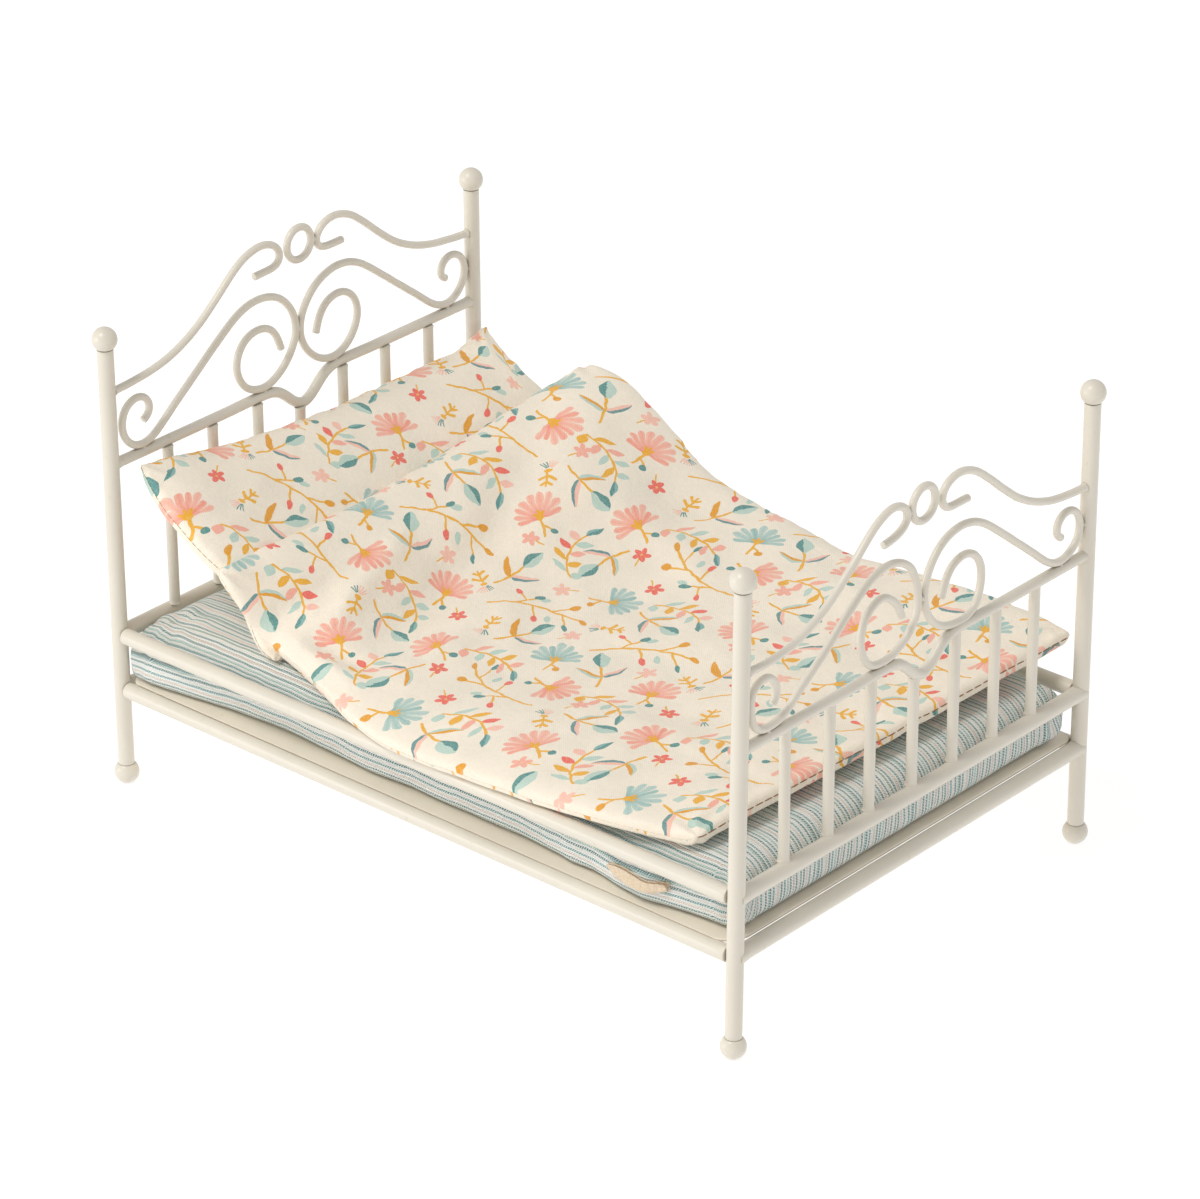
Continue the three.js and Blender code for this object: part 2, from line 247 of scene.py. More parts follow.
def printed_material(name):
    g = Graph(name)
    uv = g.v("SCALE", g.uv(), scale=1000.0)  # millimetres on the flat cloth
    draw = g.v("SCALE", uv, scale=1 / PRINT_SCALE)
    wob = g.v("SUBTRACT", g.noise(draw, 0.30, 0.6, 0.5, "2D", True), (0.5, 0.5, 0.5))
    p = g.v("MULTIPLY", g.v("MULTIPLY_ADD", wob, (1.0, 1.0, 0), draw), (1, 1, 0))
    worn = g.noise(uv, 1.6, 2.5, 0.6, "2D")          # ink that takes unevenly
    ink = g.ramp(worn, 0.22, 0.60, 0.74, 1.0)
    col = g.mix(g.ramp(g.noise(uv, 0.05, 2.0, 0.5, "2D"), 0.3, 0.7), rgba(243, 233, 216), CREAM)

    def nearest(kind):
        """Local coordinates of the nearest motif of a kind, and its variant number."""
        best = dist = None
        for i, (x, y, a) in enumerate(LAYOUT[kind]):
            code = a + 10 * (i % 3)
            v = g.v("SUBTRACT", p, (x, y, -code * 0.001))
            v = g.v("WRAP", v, (TILE / 2, TILE / 2, 10), (-TILE / 2, -TILE / 2, -10))
            d = g.v("LENGTH", v)
            if best is None:
                best, dist = v, d
            else:
                f = g.m("LESS_THAN", d, dist)
                best = g.mixv(f, best, v)
                dist = g.m("MINIMUM", dist, d)
        code = g.m("MULTIPLY", g.xyz(best)[2], 1000.0)
        variant = g.m("FLOOR", g.m("MULTIPLY", g.m("ADD", code, 0.01), 0.1))
        angle = g.m("MULTIPLY_ADD", variant, -10.0, code)
        n = g.n.new("ShaderNodeVectorRotate")
        n.rotation_type = "Z_AXIS"
        g.put(n.inputs["Vector"], g.v("MULTIPLY", best, (1, 1, 0)))
        g.put(n.inputs["Angle"], g.m("MULTIPLY", angle, -1.0))
        return n.outputs[0], variant

    def bend(v, k):
        x, y, _ = g.xyz(v)
        return g.vec(x, g.m("MULTIPLY_ADD", g.m("MULTIPLY", x, x), k, y), 0.0)

    def seg(v, a, b, r):
        """Signed distance to a stroke from a to b, r thick each side."""
        L = math.hypot(b[0] - a[0], b[1] - a[1])
        q = g.place(v, a, math.atan2(b[1] - a[1], b[0] - a[0]))
        c = g.v("MINIMUM", g.v("MAXIMUM", q, (0, 0, 0)), (L, 0, 0))
        return g.m("SUBTRACT", g.v("DISTANCE", q, c), r * 1.35)

    def oval(v, c, rot, a, b):
        q = g.v("LENGTH", g.place(v, c, rot, (a, b)))
        return g.m("MULTIPLY_ADD", q, min(a, b), -min(a, b))

    def leaf(v, c, rot, a, b):
        """A pointed leaf, a half length and b half width."""
        q = g.place(v, c, rot, (a, b))
        x, y, _ = g.xyz(q)
        d = g.m("ADD", g.m("MULTIPLY_ADD", x, x, -1.0), g.m("ABSOLUTE", y))
        return g.m("MULTIPLY", d, b), y

    def union(*ds):
        d = ds[0]
        for e in ds[1:]:
            d = g.m("MINIMUM", d, e)
        return d

    def lay(col, d, colour, alpha=None, soft=EDGE):
        f = g.ramp(d, -soft, soft, 1.0, 0.0)
        f = g.m("MULTIPLY", f, ink if alpha is None else alpha)
        return g.mix(f, col, colour)

    # small crossed sprigs with a striped tuft
    v, var = nearest("TUFT")
    x, y, _ = g.xyz(v)
    ax = g.vec(g.m("ABSOLUTE", x), y, 0.0)
    q = g.v("SUBTRACT", v, (0, -1.6, 0))
    qx, qy, _ = g.xyz(q)
    th = g.m("ARCTAN2", qx, g.m("MULTIPLY", qy, -1.0))
    k = g.m("MINIMUM", g.m("MAXIMUM", g.m("ROUND", g.m("MULTIPLY", th, 1 / 0.27)), -3.0), 3.0)
    r = g.v("LENGTH", q)
    side = g.m("MULTIPLY", r, g.m("SINE", g.m("MULTIPLY_ADD", k, -0.27, th)))
    strokes = g.m("MAXIMUM", g.m("SUBTRACT", g.m("ABSOLUTE", side), 0.20), g.m("SUBTRACT", g.m("ABSOLUTE", g.m("SUBTRACT", r, 2.6)), 1.5))
    strokes = g.m("MAXIMUM", strokes, g.m("SUBTRACT", g.m("ABSOLUTE", th), 0.98))
    col = lay(col, strokes, g.mix(g.m("GREATER_THAN", k, 0.5), PINK, TEAL_DEEP))
    col = lay(col, union(seg(v, (0, -1.6), (0.2, 5.6), 0.26), seg(ax, (0, 1.0), (2.5, 2.4), 0.42), seg(ax, (0, 3.6), (1.7, 5.0), 0.36),
                         oval(v, (0, -1.2), 0, 1.3, 0.8)), MUSTARD)

    # little five petal flowers
    v, var = nearest("FIVE")
    v = g.v("SCALE", v, scale=1.22)
    x, y, _ = g.xyz(v)
    th = g.m("ARCTAN2", x, y)
    k = g.m("ROUND", g.m("MULTIPLY", th, 5 / (2 * math.pi)))
    th = g.m("MULTIPLY_ADD", k, -2 * math.pi / 5, th)
    r = g.v("LENGTH", v)
    q = g.vec(g.m("MULTIPLY", r, g.m("SINE", th)), g.m("MULTIPLY", r, g.m("COSINE", th)), 0.0)
    col = lay(col, seg(v, (0.3, -2.0), (0.9, -6.4), 0.24), MUSTARD)
    hue = g.mix(g.m("GREATER_THAN", var, 1.5), g.mix(g.m("GREATER_THAN", var, 0.5), CORAL_DEEP, PINK), CORAL)
    col = lay(col, oval(q, (0, 2.15), 0, 1.12, 1.75), hue)
    col = lay(col, g.m("SUBTRACT", r, 0.55), g.mix(g.m("GREATER_THAN", var, 0.5), MUSTARD, CORAL), 0.7)

    # branches with buds
    v, var = nearest("BRANCH")
    v = bend(v, 0.012)
    wood = union(seg(v, (-15.5, -5.5), (-8, -2.6), 0.33), seg(v, (-8, -2.6), (2, 0.6), 0.33), seg(v, (2, 0.6), (15, 3.4), 0.30),
                 seg(v, (-8, -2.6), (-4.2, 3.0), 0.28), seg(v, (-2.6, -0.9), (1.2, -5.4), 0.28), seg(v, (3.6, 0.9), (8.4, 6.4), 0.28),
                 seg(v, (8.0, 1.9), (12.6, -2.2), 0.26), seg(v, (-5.8, 0.6), (-9.6, 3.4), 0.24))
    col = lay(col, oval(v, (-1.2, 4.6), 0.7, 1.9, 1.15), TEAL_PALE)
    col = lay(col, oval(v, (5.6, -3.6), -0.9, 2.1, 1.1), TEAL_PALE)
    col = lay(col, wood, MUSTARD)
    col = lay(col, union(oval(v, (-3.5, 4.5), 1.0, 1.9, 1.05), oval(v, (13.7, -3.3), -0.7, 1.8, 0.95)), TEAL_DEEP)
    col = lay(col, union(oval(v, (2.1, -6.6), -0.9, 1.9, 1.1), oval(v, (-10.9, 4.3), 2.5, 1.8, 0.9)), CORAL_DEEP)
    col = lay(col, union(oval(v, (9.4, 7.5), 0.85, 2.0, 1.2), oval(v, (16.4, 3.8), 0.25, 1.9, 1.0)), MUSTARD_DEEP)

    # curved sprigs with leaves on both sides
    v, var = nearest("SPRIG")
    v = bend(v, 0.035)
    x, y, _ = g.xyz(v)
    low = g.m("LESS_THAN", y, 0.0)
    xs = g.m("MULTIPLY_ADD", low, 2.3, x)
    k = g.m("MINIMUM", g.m("MAXIMUM", g.m("ROUND", g.m("MULTIPLY", g.m("SUBTRACT", xs, 1.6), 1 / 4.8)), -2.0), 1.0)
    q = g.vec(g.m("MULTIPLY_ADD", k, -4.8, xs), g.m("ABSOLUTE", y), 0.0)
    d, _ = leaf(q, (1.55, 2.75), 1.08, 3.05, 1.22)
    pick = g.m("FRACT", g.m("MULTIPLY_ADD", g.m("ADD", k, g.m("MULTIPLY", low, 2.6)), 0.37, g.m("MULTIPLY", var, 0.31)))
    hue = g.stops(pick, [CORAL_DEEP[:3], TEAL_PALE[:3], PINK[:3], MUSTARD[:3], TEAL_PALE[:3], CORAL[:3]])
    col = lay(col, d, hue)
    col = lay(col, seg(v, (-11.5, 0), (8.6, 0), 0.30), MUSTARD)
    d, side = leaf(v, (10.6, 0), 0, 2.9, 1.5)
    col = lay(col, d, g.mix(g.m("GREATER_THAN", side, 0.1), TEAL_DEEP, TEAL))

    # stems with one big two tone leaf and a pair of curled leaves
    v, var = nearest("TRIO")
    x, y, _ = g.xyz(v)
    bx = g.vec(g.m("MULTIPLY_ADD", g.m("MULTIPLY", y, y), 0.02, x), y, 0.0)
    col = lay(col, seg(bx, (0, -8.6), (0, 5.2), 0.33), MUSTARD)
    cur = g.vec(x, g.m("MULTIPLY_ADD", g.m("MULTIPLY", x, x), -0.062, y), 0.0)
    _, side = leaf(cur, (-3.9, -1.6), 2.85, 3.9, 1.45)
    d = oval(cur, (-3.9, -1.6), 2.85, 3.9, 1.45)
    col = lay(col, d, g.mix(g.m("GREATER_THAN", side, -0.02), MUSTARD_DEEP, g.mix(g.m("GREATER_THAN", var, 0.5), MUSTARD_DEEP, TEAL_PALE)))
    _, side = leaf(cur, (4.0, -1.2), 0.26, 3.9, 1.55)
    d = oval(cur, (4.0, -1.2), 0.26, 3.9, 1.55)
    col = lay(col, d, g.mix(g.m("GREATER_THAN", side, -0.05), rgba(104, 150, 152), PINK))
    d, side = leaf(v, (0, 8.0), math.pi / 2, 4.7, 2.65)
    col = lay(col, d, g.mix(g.m("GREATER_THAN", side, g.m("MULTIPLY", g.noise(draw, 0.9, 1.0, 0.5, "2D"), 0.25)), TEAL_PALE, TEAL_DEEP))

    # fan flowers
    v, var = nearest("FAN")
    q = g.v("ADD", v, (0, 4.2, 0))
    x, y, _ = g.xyz(q)
    th = g.m("ARCTAN2", x, y)
    k = g.m("MINIMUM", g.m("MAXIMUM", g.m("ROUND", g.m("MULTIPLY", th, 1 / 0.36)), -4.0), 4.0)
    t2 = g.m("MULTIPLY_ADD", k, -0.36, th)
    r = g.v("LENGTH", q)
    # petals differ in length, the outer ones are shorter
    shade = g.m("FRACT", g.m("MULTIPLY_ADD", g.m("SINE", g.m("MULTIPLY_ADD", k, 12.9898, g.m("MULTIPLY", var, 7.31))), 43.758, 0.27))
    r = g.m("MULTIPLY", r, g.m("MULTIPLY_ADD", g.m("MULTIPLY", k, k), 0.011, g.m("MULTIPLY_ADD", shade, 0.20, 0.90)))
    X, Y = g.m("MULTIPLY", r, g.m("SINE", t2)), g.m("MULTIPLY", r, g.m("COSINE", t2))
    w = g.m("MULTIPLY_ADD", Y, 0.108, 0.36)
    cap = g.m("DIVIDE", g.m("MAXIMUM", g.m("SUBTRACT", Y, 7.7), 0.0), 1.9)
    d = g.v("LENGTH", g.vec(g.m("DIVIDE", X, w), cap, 0.0))
    d = g.m("MAXIMUM", g.m("SUBTRACT", d, 1.0), g.m("SUBTRACT", 0.8, Y))
    vein = g.ramp(g.m("ABSOLUTE", X), 0.10, 0.62, 0.42, 0.0)
    teal = g.m("GREATER_THAN", var, 1.5)
    pale = g.mix(teal, rgba(250, 186, 166), rgba(180, 208, 202))
    full = g.mix(teal, rgba(244, 148, 128), rgba(138, 182, 178))
    hue = g.mix(g.m("ADD", g.m("MULTIPLY", shade, 0.42), vein, clamp=True), pale, full)
    hue = g.mix(g.ramp(Y, 1.0, 4.6, 0.45, 0.0), hue, g.mix(teal, CORAL_DEEP, TEAL_DEEP))
    # the stem and calyx are drawn over the petals
    col = lay(col, d, hue, g.m("MULTIPLY", ink, g.ramp(shade, 0.0, 1.0, 0.86, 1.0)), 0.06)
    stem = bend(g.place(v, (0, -4.2), -math.pi / 2), 0.03)
    col = lay(col, union(seg(stem, (0, 0), (6.8, 0), 0.34), seg(stem, (3.0, 0), (5.2, 2.6), 0.26), oval(v, (0, -3.9), 0, 1.35, 1.25),
                         seg(v, (0, -4.0), (-1.6, -2.2), 0.36), seg(v, (0, -4.0), (1.6, -2.2), 0.36), seg(v, (0, -4.0), (0, -1.5), 0.36)), MUSTARD)
    col = lay(col, oval(stem, (6.3, 3.5), 0.9, 1.6, 1.0), g.mix(teal, TEAL_DEEP, MUSTARD_DEEP))

    # plain weave: over and under threads with slubs
    t = g.v("SCALE", uv, scale=math.pi / 0.46)
    tx, ty, _ = g.xyz(t)
    weave = g.m("MULTIPLY", g.m("SINE", tx), g.m("SINE", ty))
    slub = g.noise(g.v("MULTIPLY", uv, (0.35, 2.6, 0)), 1.0, 3.0, 0.65, "2D")
    slub2 = g.noise(g.v("MULTIPLY", uv, (2.6, 0.35, 0)), 1.0, 3.0, 0.65, "2D")
    thread = g.m("ADD", g.m("MULTIPLY", slub, 0.5), g.m("MULTIPLY", slub2, 0.5))
    # the weave term paints light on the raised thread crossings and shade between them; the slub term is the threads'
    # own colour
    tone = g.m("ADD", g.ramp(thread, 0.3, 0.7, 0.945, 1.02), g.m("MULTIPLY", weave, 0.025))
    col = g.mix(1.0, col, g.vec(tone, tone, tone), "MULTIPLY")
    n = g.bump(g.m("ADD", g.m("MULTIPLY", weave, 0.5), g.m("MULTIPLY", thread, 1.6)), 0.35, 0.00022)
    n = g.bump(g.noise(uv, 0.30, 3.0, 0.55, "2D"), 0.22, 0.0016, n)
    g.out(Base_Color=col, Roughness=g.ramp(thread, 0.3, 0.7, 0.80, 0.92), Normal=n, Sheen_Weight=0.22, Sheen_Roughness=0.45, Specular_IOR_Level=0.25)
    return g.mat


# ------------------------------------------------------------------ striped cloth
def striped_material(name):
    g = Graph(name)
    uv = g.v("SCALE", g.uv(), scale=1000.0)
    wander = g.m("MULTIPLY", g.m("SUBTRACT", g.noise(uv, 0.05, 2.0, 0.5, "2D"), 0.5), 1.6)
    u, v, _ = g.xyz(uv)
    u = g.m("ADD", u, wander)
    PITCH = 0.80
    T, T2, L, W, P, P2, G = (lin(58, 130, 138), lin(88, 158, 162), lin(168, 208, 202), lin(254, 254, 248), lin(240, 220, 206), lin(220, 198, 182), lin(112, 158, 138))
    rows = [T, W, T2, W, W, P, W, T, W, T2, W, L, W, T, W, P2, W, T, W, W, G, W, T, W, P, W, T2, W, W, T, W, L]
    col = g.stops(g.m("FRACT", g.m("MULTIPLY_ADD", u, 1 / (PITCH * len(rows)), 0.004)), rows)
    row = g.m("FLOOR", g.m("MULTIPLY", u, 1 / PITCH))
    across = g.m("SUBTRACT", g.m("FRACT", g.m("MULTIPLY", u, 1 / PITCH)), 0.5)
    ridge = g.m("COSINE", g.m("MULTIPLY", across, math.pi * 1.9))            # 1 on the yarn, falls to the groove
    along = g.m("ADD", g.m("MULTIPLY", v, 1 / 0.98), g.m("MULTIPLY", row, 0.5))
    along = g.m("ADD", along, g.m("MULTIPLY", g.noise(g.vec(u, g.m("MULTIPLY", v, 0.4), 0.0), 0.9, 1.0, 0.5, "2D"), 0.8))
    dash = g.m("SINE", g.m("MULTIPLY_ADD", g.m("MULTIPLY", across, 0.7), 2 * math.pi, g.m("MULTIPLY", along, 2 * math.pi)))
    height = g.m("ADD", g.m("MULTIPLY", ridge, 0.6), g.m("MULTIPLY", dash, 0.4))
    fuzz = g.noise(uv, 3.5, 3.0, 0.7, "2D")
    # pale weft shows between the stitches of every yarn
    gap = g.m("MULTIPLY", g.ramp(dash, -0.05, -0.45, 0.0, 1.0), 0.90)
    col = g.mix(gap, col, rgba(248, 249, 242))
    # painted shade in the grooves between the yarns
    groove = g.m("MULTIPLY", g.ramp(ridge, 0.25, -0.8, 0.0, 1.0), 0.10)
    col = g.mix(groove, col, rgba(112, 142, 144))
    tone = g.ramp(fuzz, 0.25, 0.75, 0.92, 1.05)
    col = g.mix(1.0, col, g.vec(tone, tone, tone), "MULTIPLY")
    n = g.bump(g.m("ADD", height, g.m("MULTIPLY", fuzz, 0.5)), 0.7, 0.00045)
    n = g.bump(g.noise(uv, 0.12, 2.0, 0.5, "2D"), 0.25, 0.002, n)
    g.out(Base_Color=col, Roughness=0.92, Normal=n, Sheen_Weight=0.3, Sheen_Roughness=0.5, Specular_IOR_Level=0.2)
    return g.mat


def plain_cloth(name, a, b, pitch=0.5):
    g = Graph(name)
    uv = g.v("SCALE", g.object_coords(), scale=1000.0)
    x, y, z = g.xyz(g.v("SCALE", uv, scale=math.pi / pitch))
    weave = g.m("MULTIPLY", g.m("SINE", y), g.m("SINE", z))
    fuzz = g.noise(uv, 1.4, 4.0, 0.65)
    col = g.mix(g.ramp(fuzz, 0.35, 0.65), rgba(*a), rgba(*b))
    # painted shade between the threads of the weave
    col = g.mix(g.ramp(weave, -0.2, -1.0, 0.0, 0.35), col, rgba(*[int(c * 0.72) for c in a]))
    n = g.bump(g.m("ADD", weave, g.m("MULTIPLY", fuzz, 2.0)), 0.6, 0.0002)
    return g.out(Base_Color=col, Roughness=0.93, Normal=n, Sheen_Weight=0.25, Specular_IOR_Level=0.2)


def thread_material(name, a):
    g = Graph(name)
    p = g.v("SCALE", g.object_coords(), scale=1000.0)
    twist = g.noise(p, 2.2, 3.0, 0.6)
    col = g.mix(g.ramp(twist, 0.3, 0.7), rgba(*a), rgba(*[min(255, c + 26) for c in a]))
    return g.out(Base_Color=col, Roughness=0.85, Normal=g.bump(twist, 0.5, 0.0002), Specular_IOR_Level=0.25)


PAINT = paint_material("ivory_paint")
# painted light: a lighter copy of the ivory paint for the base panel, brightened against the shadow of the mattress,
# with weaker crevice shade
BRIGHTENED_SHEET = paint_material("ivory_sheet_paint_brightened", (240, 230, 213), crevice_shade=0.12)
RAILS = paint_material("ivory_rail_paint", crevice_shade=0.25)
# the seams are painted shadow rings under the finials and above the foot balls
POSTS = paint_material("ivory_post_paint", seams=((177.1 - 3.486, 0.34, 0.75), (4.44 + 3.486, 0.26, 0.28)))
PRINT = printed_material("printed_cloth")
STRIPE = striped_material("striped_cloth")
TAGCLOTH = plain_cloth("tag_cloth", (222, 198, 168), (240, 222, 196), 0.4)
THREAD = thread_material("seam_thread", (128, 92, 62))
THREAD_PALE = thread_material("pale_thread", (212, 194, 166))


# ------------------------------------------------------------------ mesh helpers
def make(name, verts, faces, mat, smooth=True, uvs=None):
    """One mesh object from millimetre points. uvs is one (u, v) in metres for each corner, in face order."""
    me = bpy.data.meshes.new(name)
    me.from_pydata([tuple(float(c) * MM for c in v) for v in verts], [], [tuple(map(int, f)) for f in faces])
    if uvs is not None:
        layer = me.uv_layers.new(name="UVMap")
        layer.data.foreach_set("uv", np.asarray(uvs, np.float32).ravel())
    me.validate(clean_customdata=False)
    me.polygons.foreach_set("use_smooth", [smooth] * len(me.polygons))
    me.materials.append(mat)
    ob = bpy.data.objects.new(name, me)
    scene.collection.objects.link(ob)
    return ob


def resample(P, step):
    """Points a fixed step apart on a centripetal Catmull-Rom curve through P."""
    P = np.asarray(P, float)
    Q = np.vstack([2 * P[0] - P[1], P, 2 * P[-1] - P[-2]])
    out = []
    for i in range(1, len(Q) - 2):
        p0, p1, p2, p3 = Q[i - 1:i + 3]
        t1 = np.linalg.norm(p1 - p0) ** 0.5
        t2 = t1 + np.linalg.norm(p2 - p1) ** 0.5
        t3 = t2 + np.linalg.norm(p3 - p2) ** 0.5
        t = np.linspace(t1, t2, 10, endpoint=False)[:, None]
        a1 = (t1 - t) / t1 * p0 + t / t1 * p1
        a2 = (t2 - t) / (t2 - t1) * p1 + (t - t1) / (t2 - t1) * p2
        a3 = (t3 - t) / (t3 - t2) * p2 + (t - t2) / (t3 - t2) * p3
        b1 = (t2 - t) / t2 * a1 + t / t2 * a2
        b2 = (t3 - t) / (t3 - t1) * a2 + (t - t1) / (t3 - t1) * a3
        out.append((t2 - t) / (t2 - t1) * b1 + (t - t1) / (t2 - t1) * b2)
    out.append(P[-1:])
    return walk(np.vstack(out), step)


def walk(P, step=None, n=None):
    P = np.asarray(P, float)
    L = np.r_[0, np.cumsum(np.linalg.norm(np.diff(P, axis=0), axis=1))]
    n = n or max(2, int(round(L[-1] / step)) + 1)
    u = np.linspace(0, L[-1], n)
    return np.stack([np.interp(u, L, P[:, i]) for i in range(P.shape[1])], -1)


def tube(P, radius, seg=20, closed=False, bevel=0.3, flare=None):
    """A round bar along P. radius is one number or one for each point. Ends are flat with a rounded edge."""
    P = np.asarray(P, float)
    n = len(P)
    R = np.full(n, float(radius)) if np.isscalar(radius) else np.asarray(radius, float)
    if closed:
        T = np.roll(P, -1, 0) - np.roll(P, 1, 0)
    else:
        T = np.gradient(P, axis=0)
    T /= np.linalg.norm(T, axis=1)[:, None]
    ref = np.array([0, 1.0, 0]) if abs(T[0][1]) < 0.8 else np.array([1.0, 0, 0])
    U = np.cross(ref, T[0]); U /= np.linalg.norm(U)
    Us = [U]
    for i in range(1, n):
        U = Us[-1] - T[i] * np.dot(Us[-1], T[i])
        Us.append(U / np.linalg.norm(U))
    Us = np.array(Us)
    Vs = np.cross(T, Us)
    ang = np.linspace(0, 2 * np.pi, seg, endpoint=False)
    rings = []
    if closed:
        for i in range(n):
            rings.append(P[i] + R[i] * (np.cos(ang)[:, None] * Us[i] + np.sin(ang)[:, None] * Vs[i]))
    else:
        def ring(i, along, r):
            rings.append(P[i] + T[i] * along + r * (np.cos(ang)[:, None] * Us[i] + np.sin(ang)[:, None] * Vs[i]))
        b = min(bevel, R[0] * 0.6)
        for a in (0.0, 0.35, 0.7, 1.0):
            ring(0, b * (1 - math.sin(a * math.pi / 2)), R[0] - b * (1 - math.sin(a * math.pi / 2)) if a < 1 else R[0]) if False else ring(0, b * (1 - math.cos(a * math.pi / 2)), R[0] - b + b * math.sin(a * math.pi / 2))
        for i in range(1, n - 1):
            ring(i, 0.0, R[i])
        b = min(bevel, R[-1] * 0.6)
        for a in (1.0, 0.7, 0.35, 0.0):
            ring(n - 1, -b * (1 - math.cos(a * math.pi / 2)), R[-1] - b + b * math.sin(a * math.pi / 2))
    V = np.vstack(rings)
    F = []
    m = len(rings)
    for i in range(m if closed else m - 1):
        j = (i + 1) % m
        for k in range(seg):
            l = (k + 1) % seg
            F.append((i * seg + k, i * seg + l, j * seg + l, j * seg + k))
    if not closed:
        s = len(V)
        V = np.vstack([V, rings[0].mean(0), rings[-1].mean(0)])
        for k in range(seg):
            l = (k + 1) % seg
            F.append((s, l, k) if True else None)
            F.append((s + 1, (m - 1) * seg + k, (m - 1) * seg + l))
    return V, F


def join(*parts):
    V, F, off = [], [], 0
    for v, f in parts:
        V.append(np.asarray(v, float))
        F += [tuple(i + off for i in q) for q in f]
        off += len(v)
    return np.vstack(V), F


def lathe(profile, centre, seg=40, axis=2):
    """A closed turned solid. profile is (radius, height) from the lowest point to the highest; both ends on the axis."""
    pr = np.asarray(profile, float)
    ang = np.linspace(0, 2 * np.pi, seg, endpoint=False)
    V, F = [[0, 0, pr[0][1]]], []
    for r, z in pr[1:-1]:
        V += [[r * math.cos(a), r * math.sin(a), z] for a in ang]
    V.append([0, 0, pr[-1][1]])
    m = len(pr) - 2
    for k in range(seg):
        l = (k + 1) % seg
        F.append((0, 1 + l, 1 + k))
        F.append((len(V) - 1, 1 + (m - 1) * seg + k, 1 + (m - 1) * seg + l))
        for i in range(m - 1):
            F.append((1 + i * seg + k, 1 + i * seg + l, 1 + (i + 1) * seg + l, 1 + (i + 1) * seg + k))
    return np.array(V) + np.asarray(centre, float), F


def bead(centre, size, seg=16, rows=10, seed=0):
    """A small weld bead: a lumpy flattened ball."""
    prof = [(0, -1)] + [(math.cos(a), math.sin(a)) for a in np.linspace(-math.pi / 2, math.pi / 2, rows + 1)[1:-1]] + [(0, 1)]
    V, F = lathe(prof, (0, 0, 0), seg)
    rs = np.random.RandomState(seed)
    k = rs.uniform(-3, 3, (4, 3))
    w = sum(np.sin(V @ k[i] + i) for i in range(4)) * 0.035
    V = V * (1 + w)[:, None] * np.asarray(size)
    return V + np.asarray(centre, float), F


def stand_for(ob, node, body):
    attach(ob, body)
    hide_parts(node)
    return ob


def metal(node, part, mat=None, smooth=True):
    ob = make(node + "_shown", part[0], part[1], mat or PAINT, smooth)
    return stand_for(ob, node, "frame")


# smooth repeatable noise on a lattice
def lattice(shape, seed):
    return np.random.RandomState(seed).uniform(-1, 1, shape)


def noise2(x, y, cell, seed):
    """Smooth noise of x, y (same units as cell), from about -1 to 1."""
    G = lattice((64, 64), seed)
    x, y = np.asarray(x, float) / cell, np.asarray(y, float) / cell
    i, j = np.floor(x).astype(int), np.floor(y).astype(int)
    fx, fy = x - i, y - j
    sx, sy = fx * fx * fx * (fx * (fx * 6 - 15) + 10), fy * fy * fy * (fy * (fy * 6 - 15) + 10)
    a, b = G[i % 64, j % 64], G[(i + 1) % 64, j % 64]
    c, d = G[i % 64, (j + 1) % 64], G[(i + 1) % 64, (j + 1) % 64]
    return (a * (1 - sx) + b * sx) * (1 - sy) + (c * (1 - sx) + d * sx) * sy


# ------------------------------------------------------------------ frame
POST_X, POST_Y, POST_R, BALL_R = 95.0, 144.3, 3.0, 4.6
FINIAL_Z, FOOT_Z = 177.1, 4.44
RAIL_LOW, RAIL_UP = 38.7, 60.8
TOP = {"head": 128.0, "foot": 115.3}
SEAT = math.sqrt(BALL_R ** 2 - POST_R ** 2)
LEAN = 3.1 / (FINIAL_Z - FOOT_Z)        # the left foot post leans in towards the middle


def post_x(end, side, z):
    x = POST_X if side == "right" else -POST_X
    return x + LEAN * (z - FOOT_Z) if (end, side) == ("foot", "left") else x


def ball_profile(flat_low=None, flat_high=None, n=22):
    lo = -math.pi / 2 if flat_low is None else -math.asin(flat_low / BALL_R)
    hi = math.pi / 2 if flat_high is None else math.asin(flat_high / BALL_R)
    pts = [(BALL_R * math.cos(a), BALL_R * math.sin(a)) for a in np.linspace(lo, hi, n)]
    out = []
    if flat_low is not None:
        r, z = pts[0]
        out += [(0, z), (r - 0.30, z), (r - 0.10, z + 0.03)]
        pts = [(r + 0.03, z + 0.13)] + pts[1:]
    else:
        pts[0] = (0, pts[0][1])
    out += pts
    if flat_high is not None:
        r, z = out[-1]
        out = out[:-1] + [(r + 0.03, z - 0.13), (r - 0.10, z - 0.03), (r - 0.30, z), (0, z)]
    else:
        out[-1] = (0, out[-1][1])
    return out


for end, sy in (("head", 1), ("foot", -1)):
    for side in ("left", "right"):
        y = sy * POST_Y
        z0, z1 = FOOT_Z + SEAT - 0.06, FINIAL_Z - SEAT + 0.06
        line = [(post_x(end, side, z), y, z) for z in np.linspace(z0, z1, 60)]
        metal(f"post_{end}_{side}", tube(line, POST_R, 40, bevel=0.28), POSTS)
        metal(f"finial_{end}_{side}", lathe(ball_profile(flat_low=SEAT), (post_x(end, side, FINIAL_Z), y, FINIAL_Z)), POSTS)
        # the foot balls carry a faint moulded rim near the top
        prof = ball_profile(flat_low=FOOT_Z, flat_high=SEAT, n=26)
        metal(f"foot_ball_{end}_{side}", lathe(prof, (post_x(end, side, FOOT_Z), y, FOOT_Z)), POSTS)

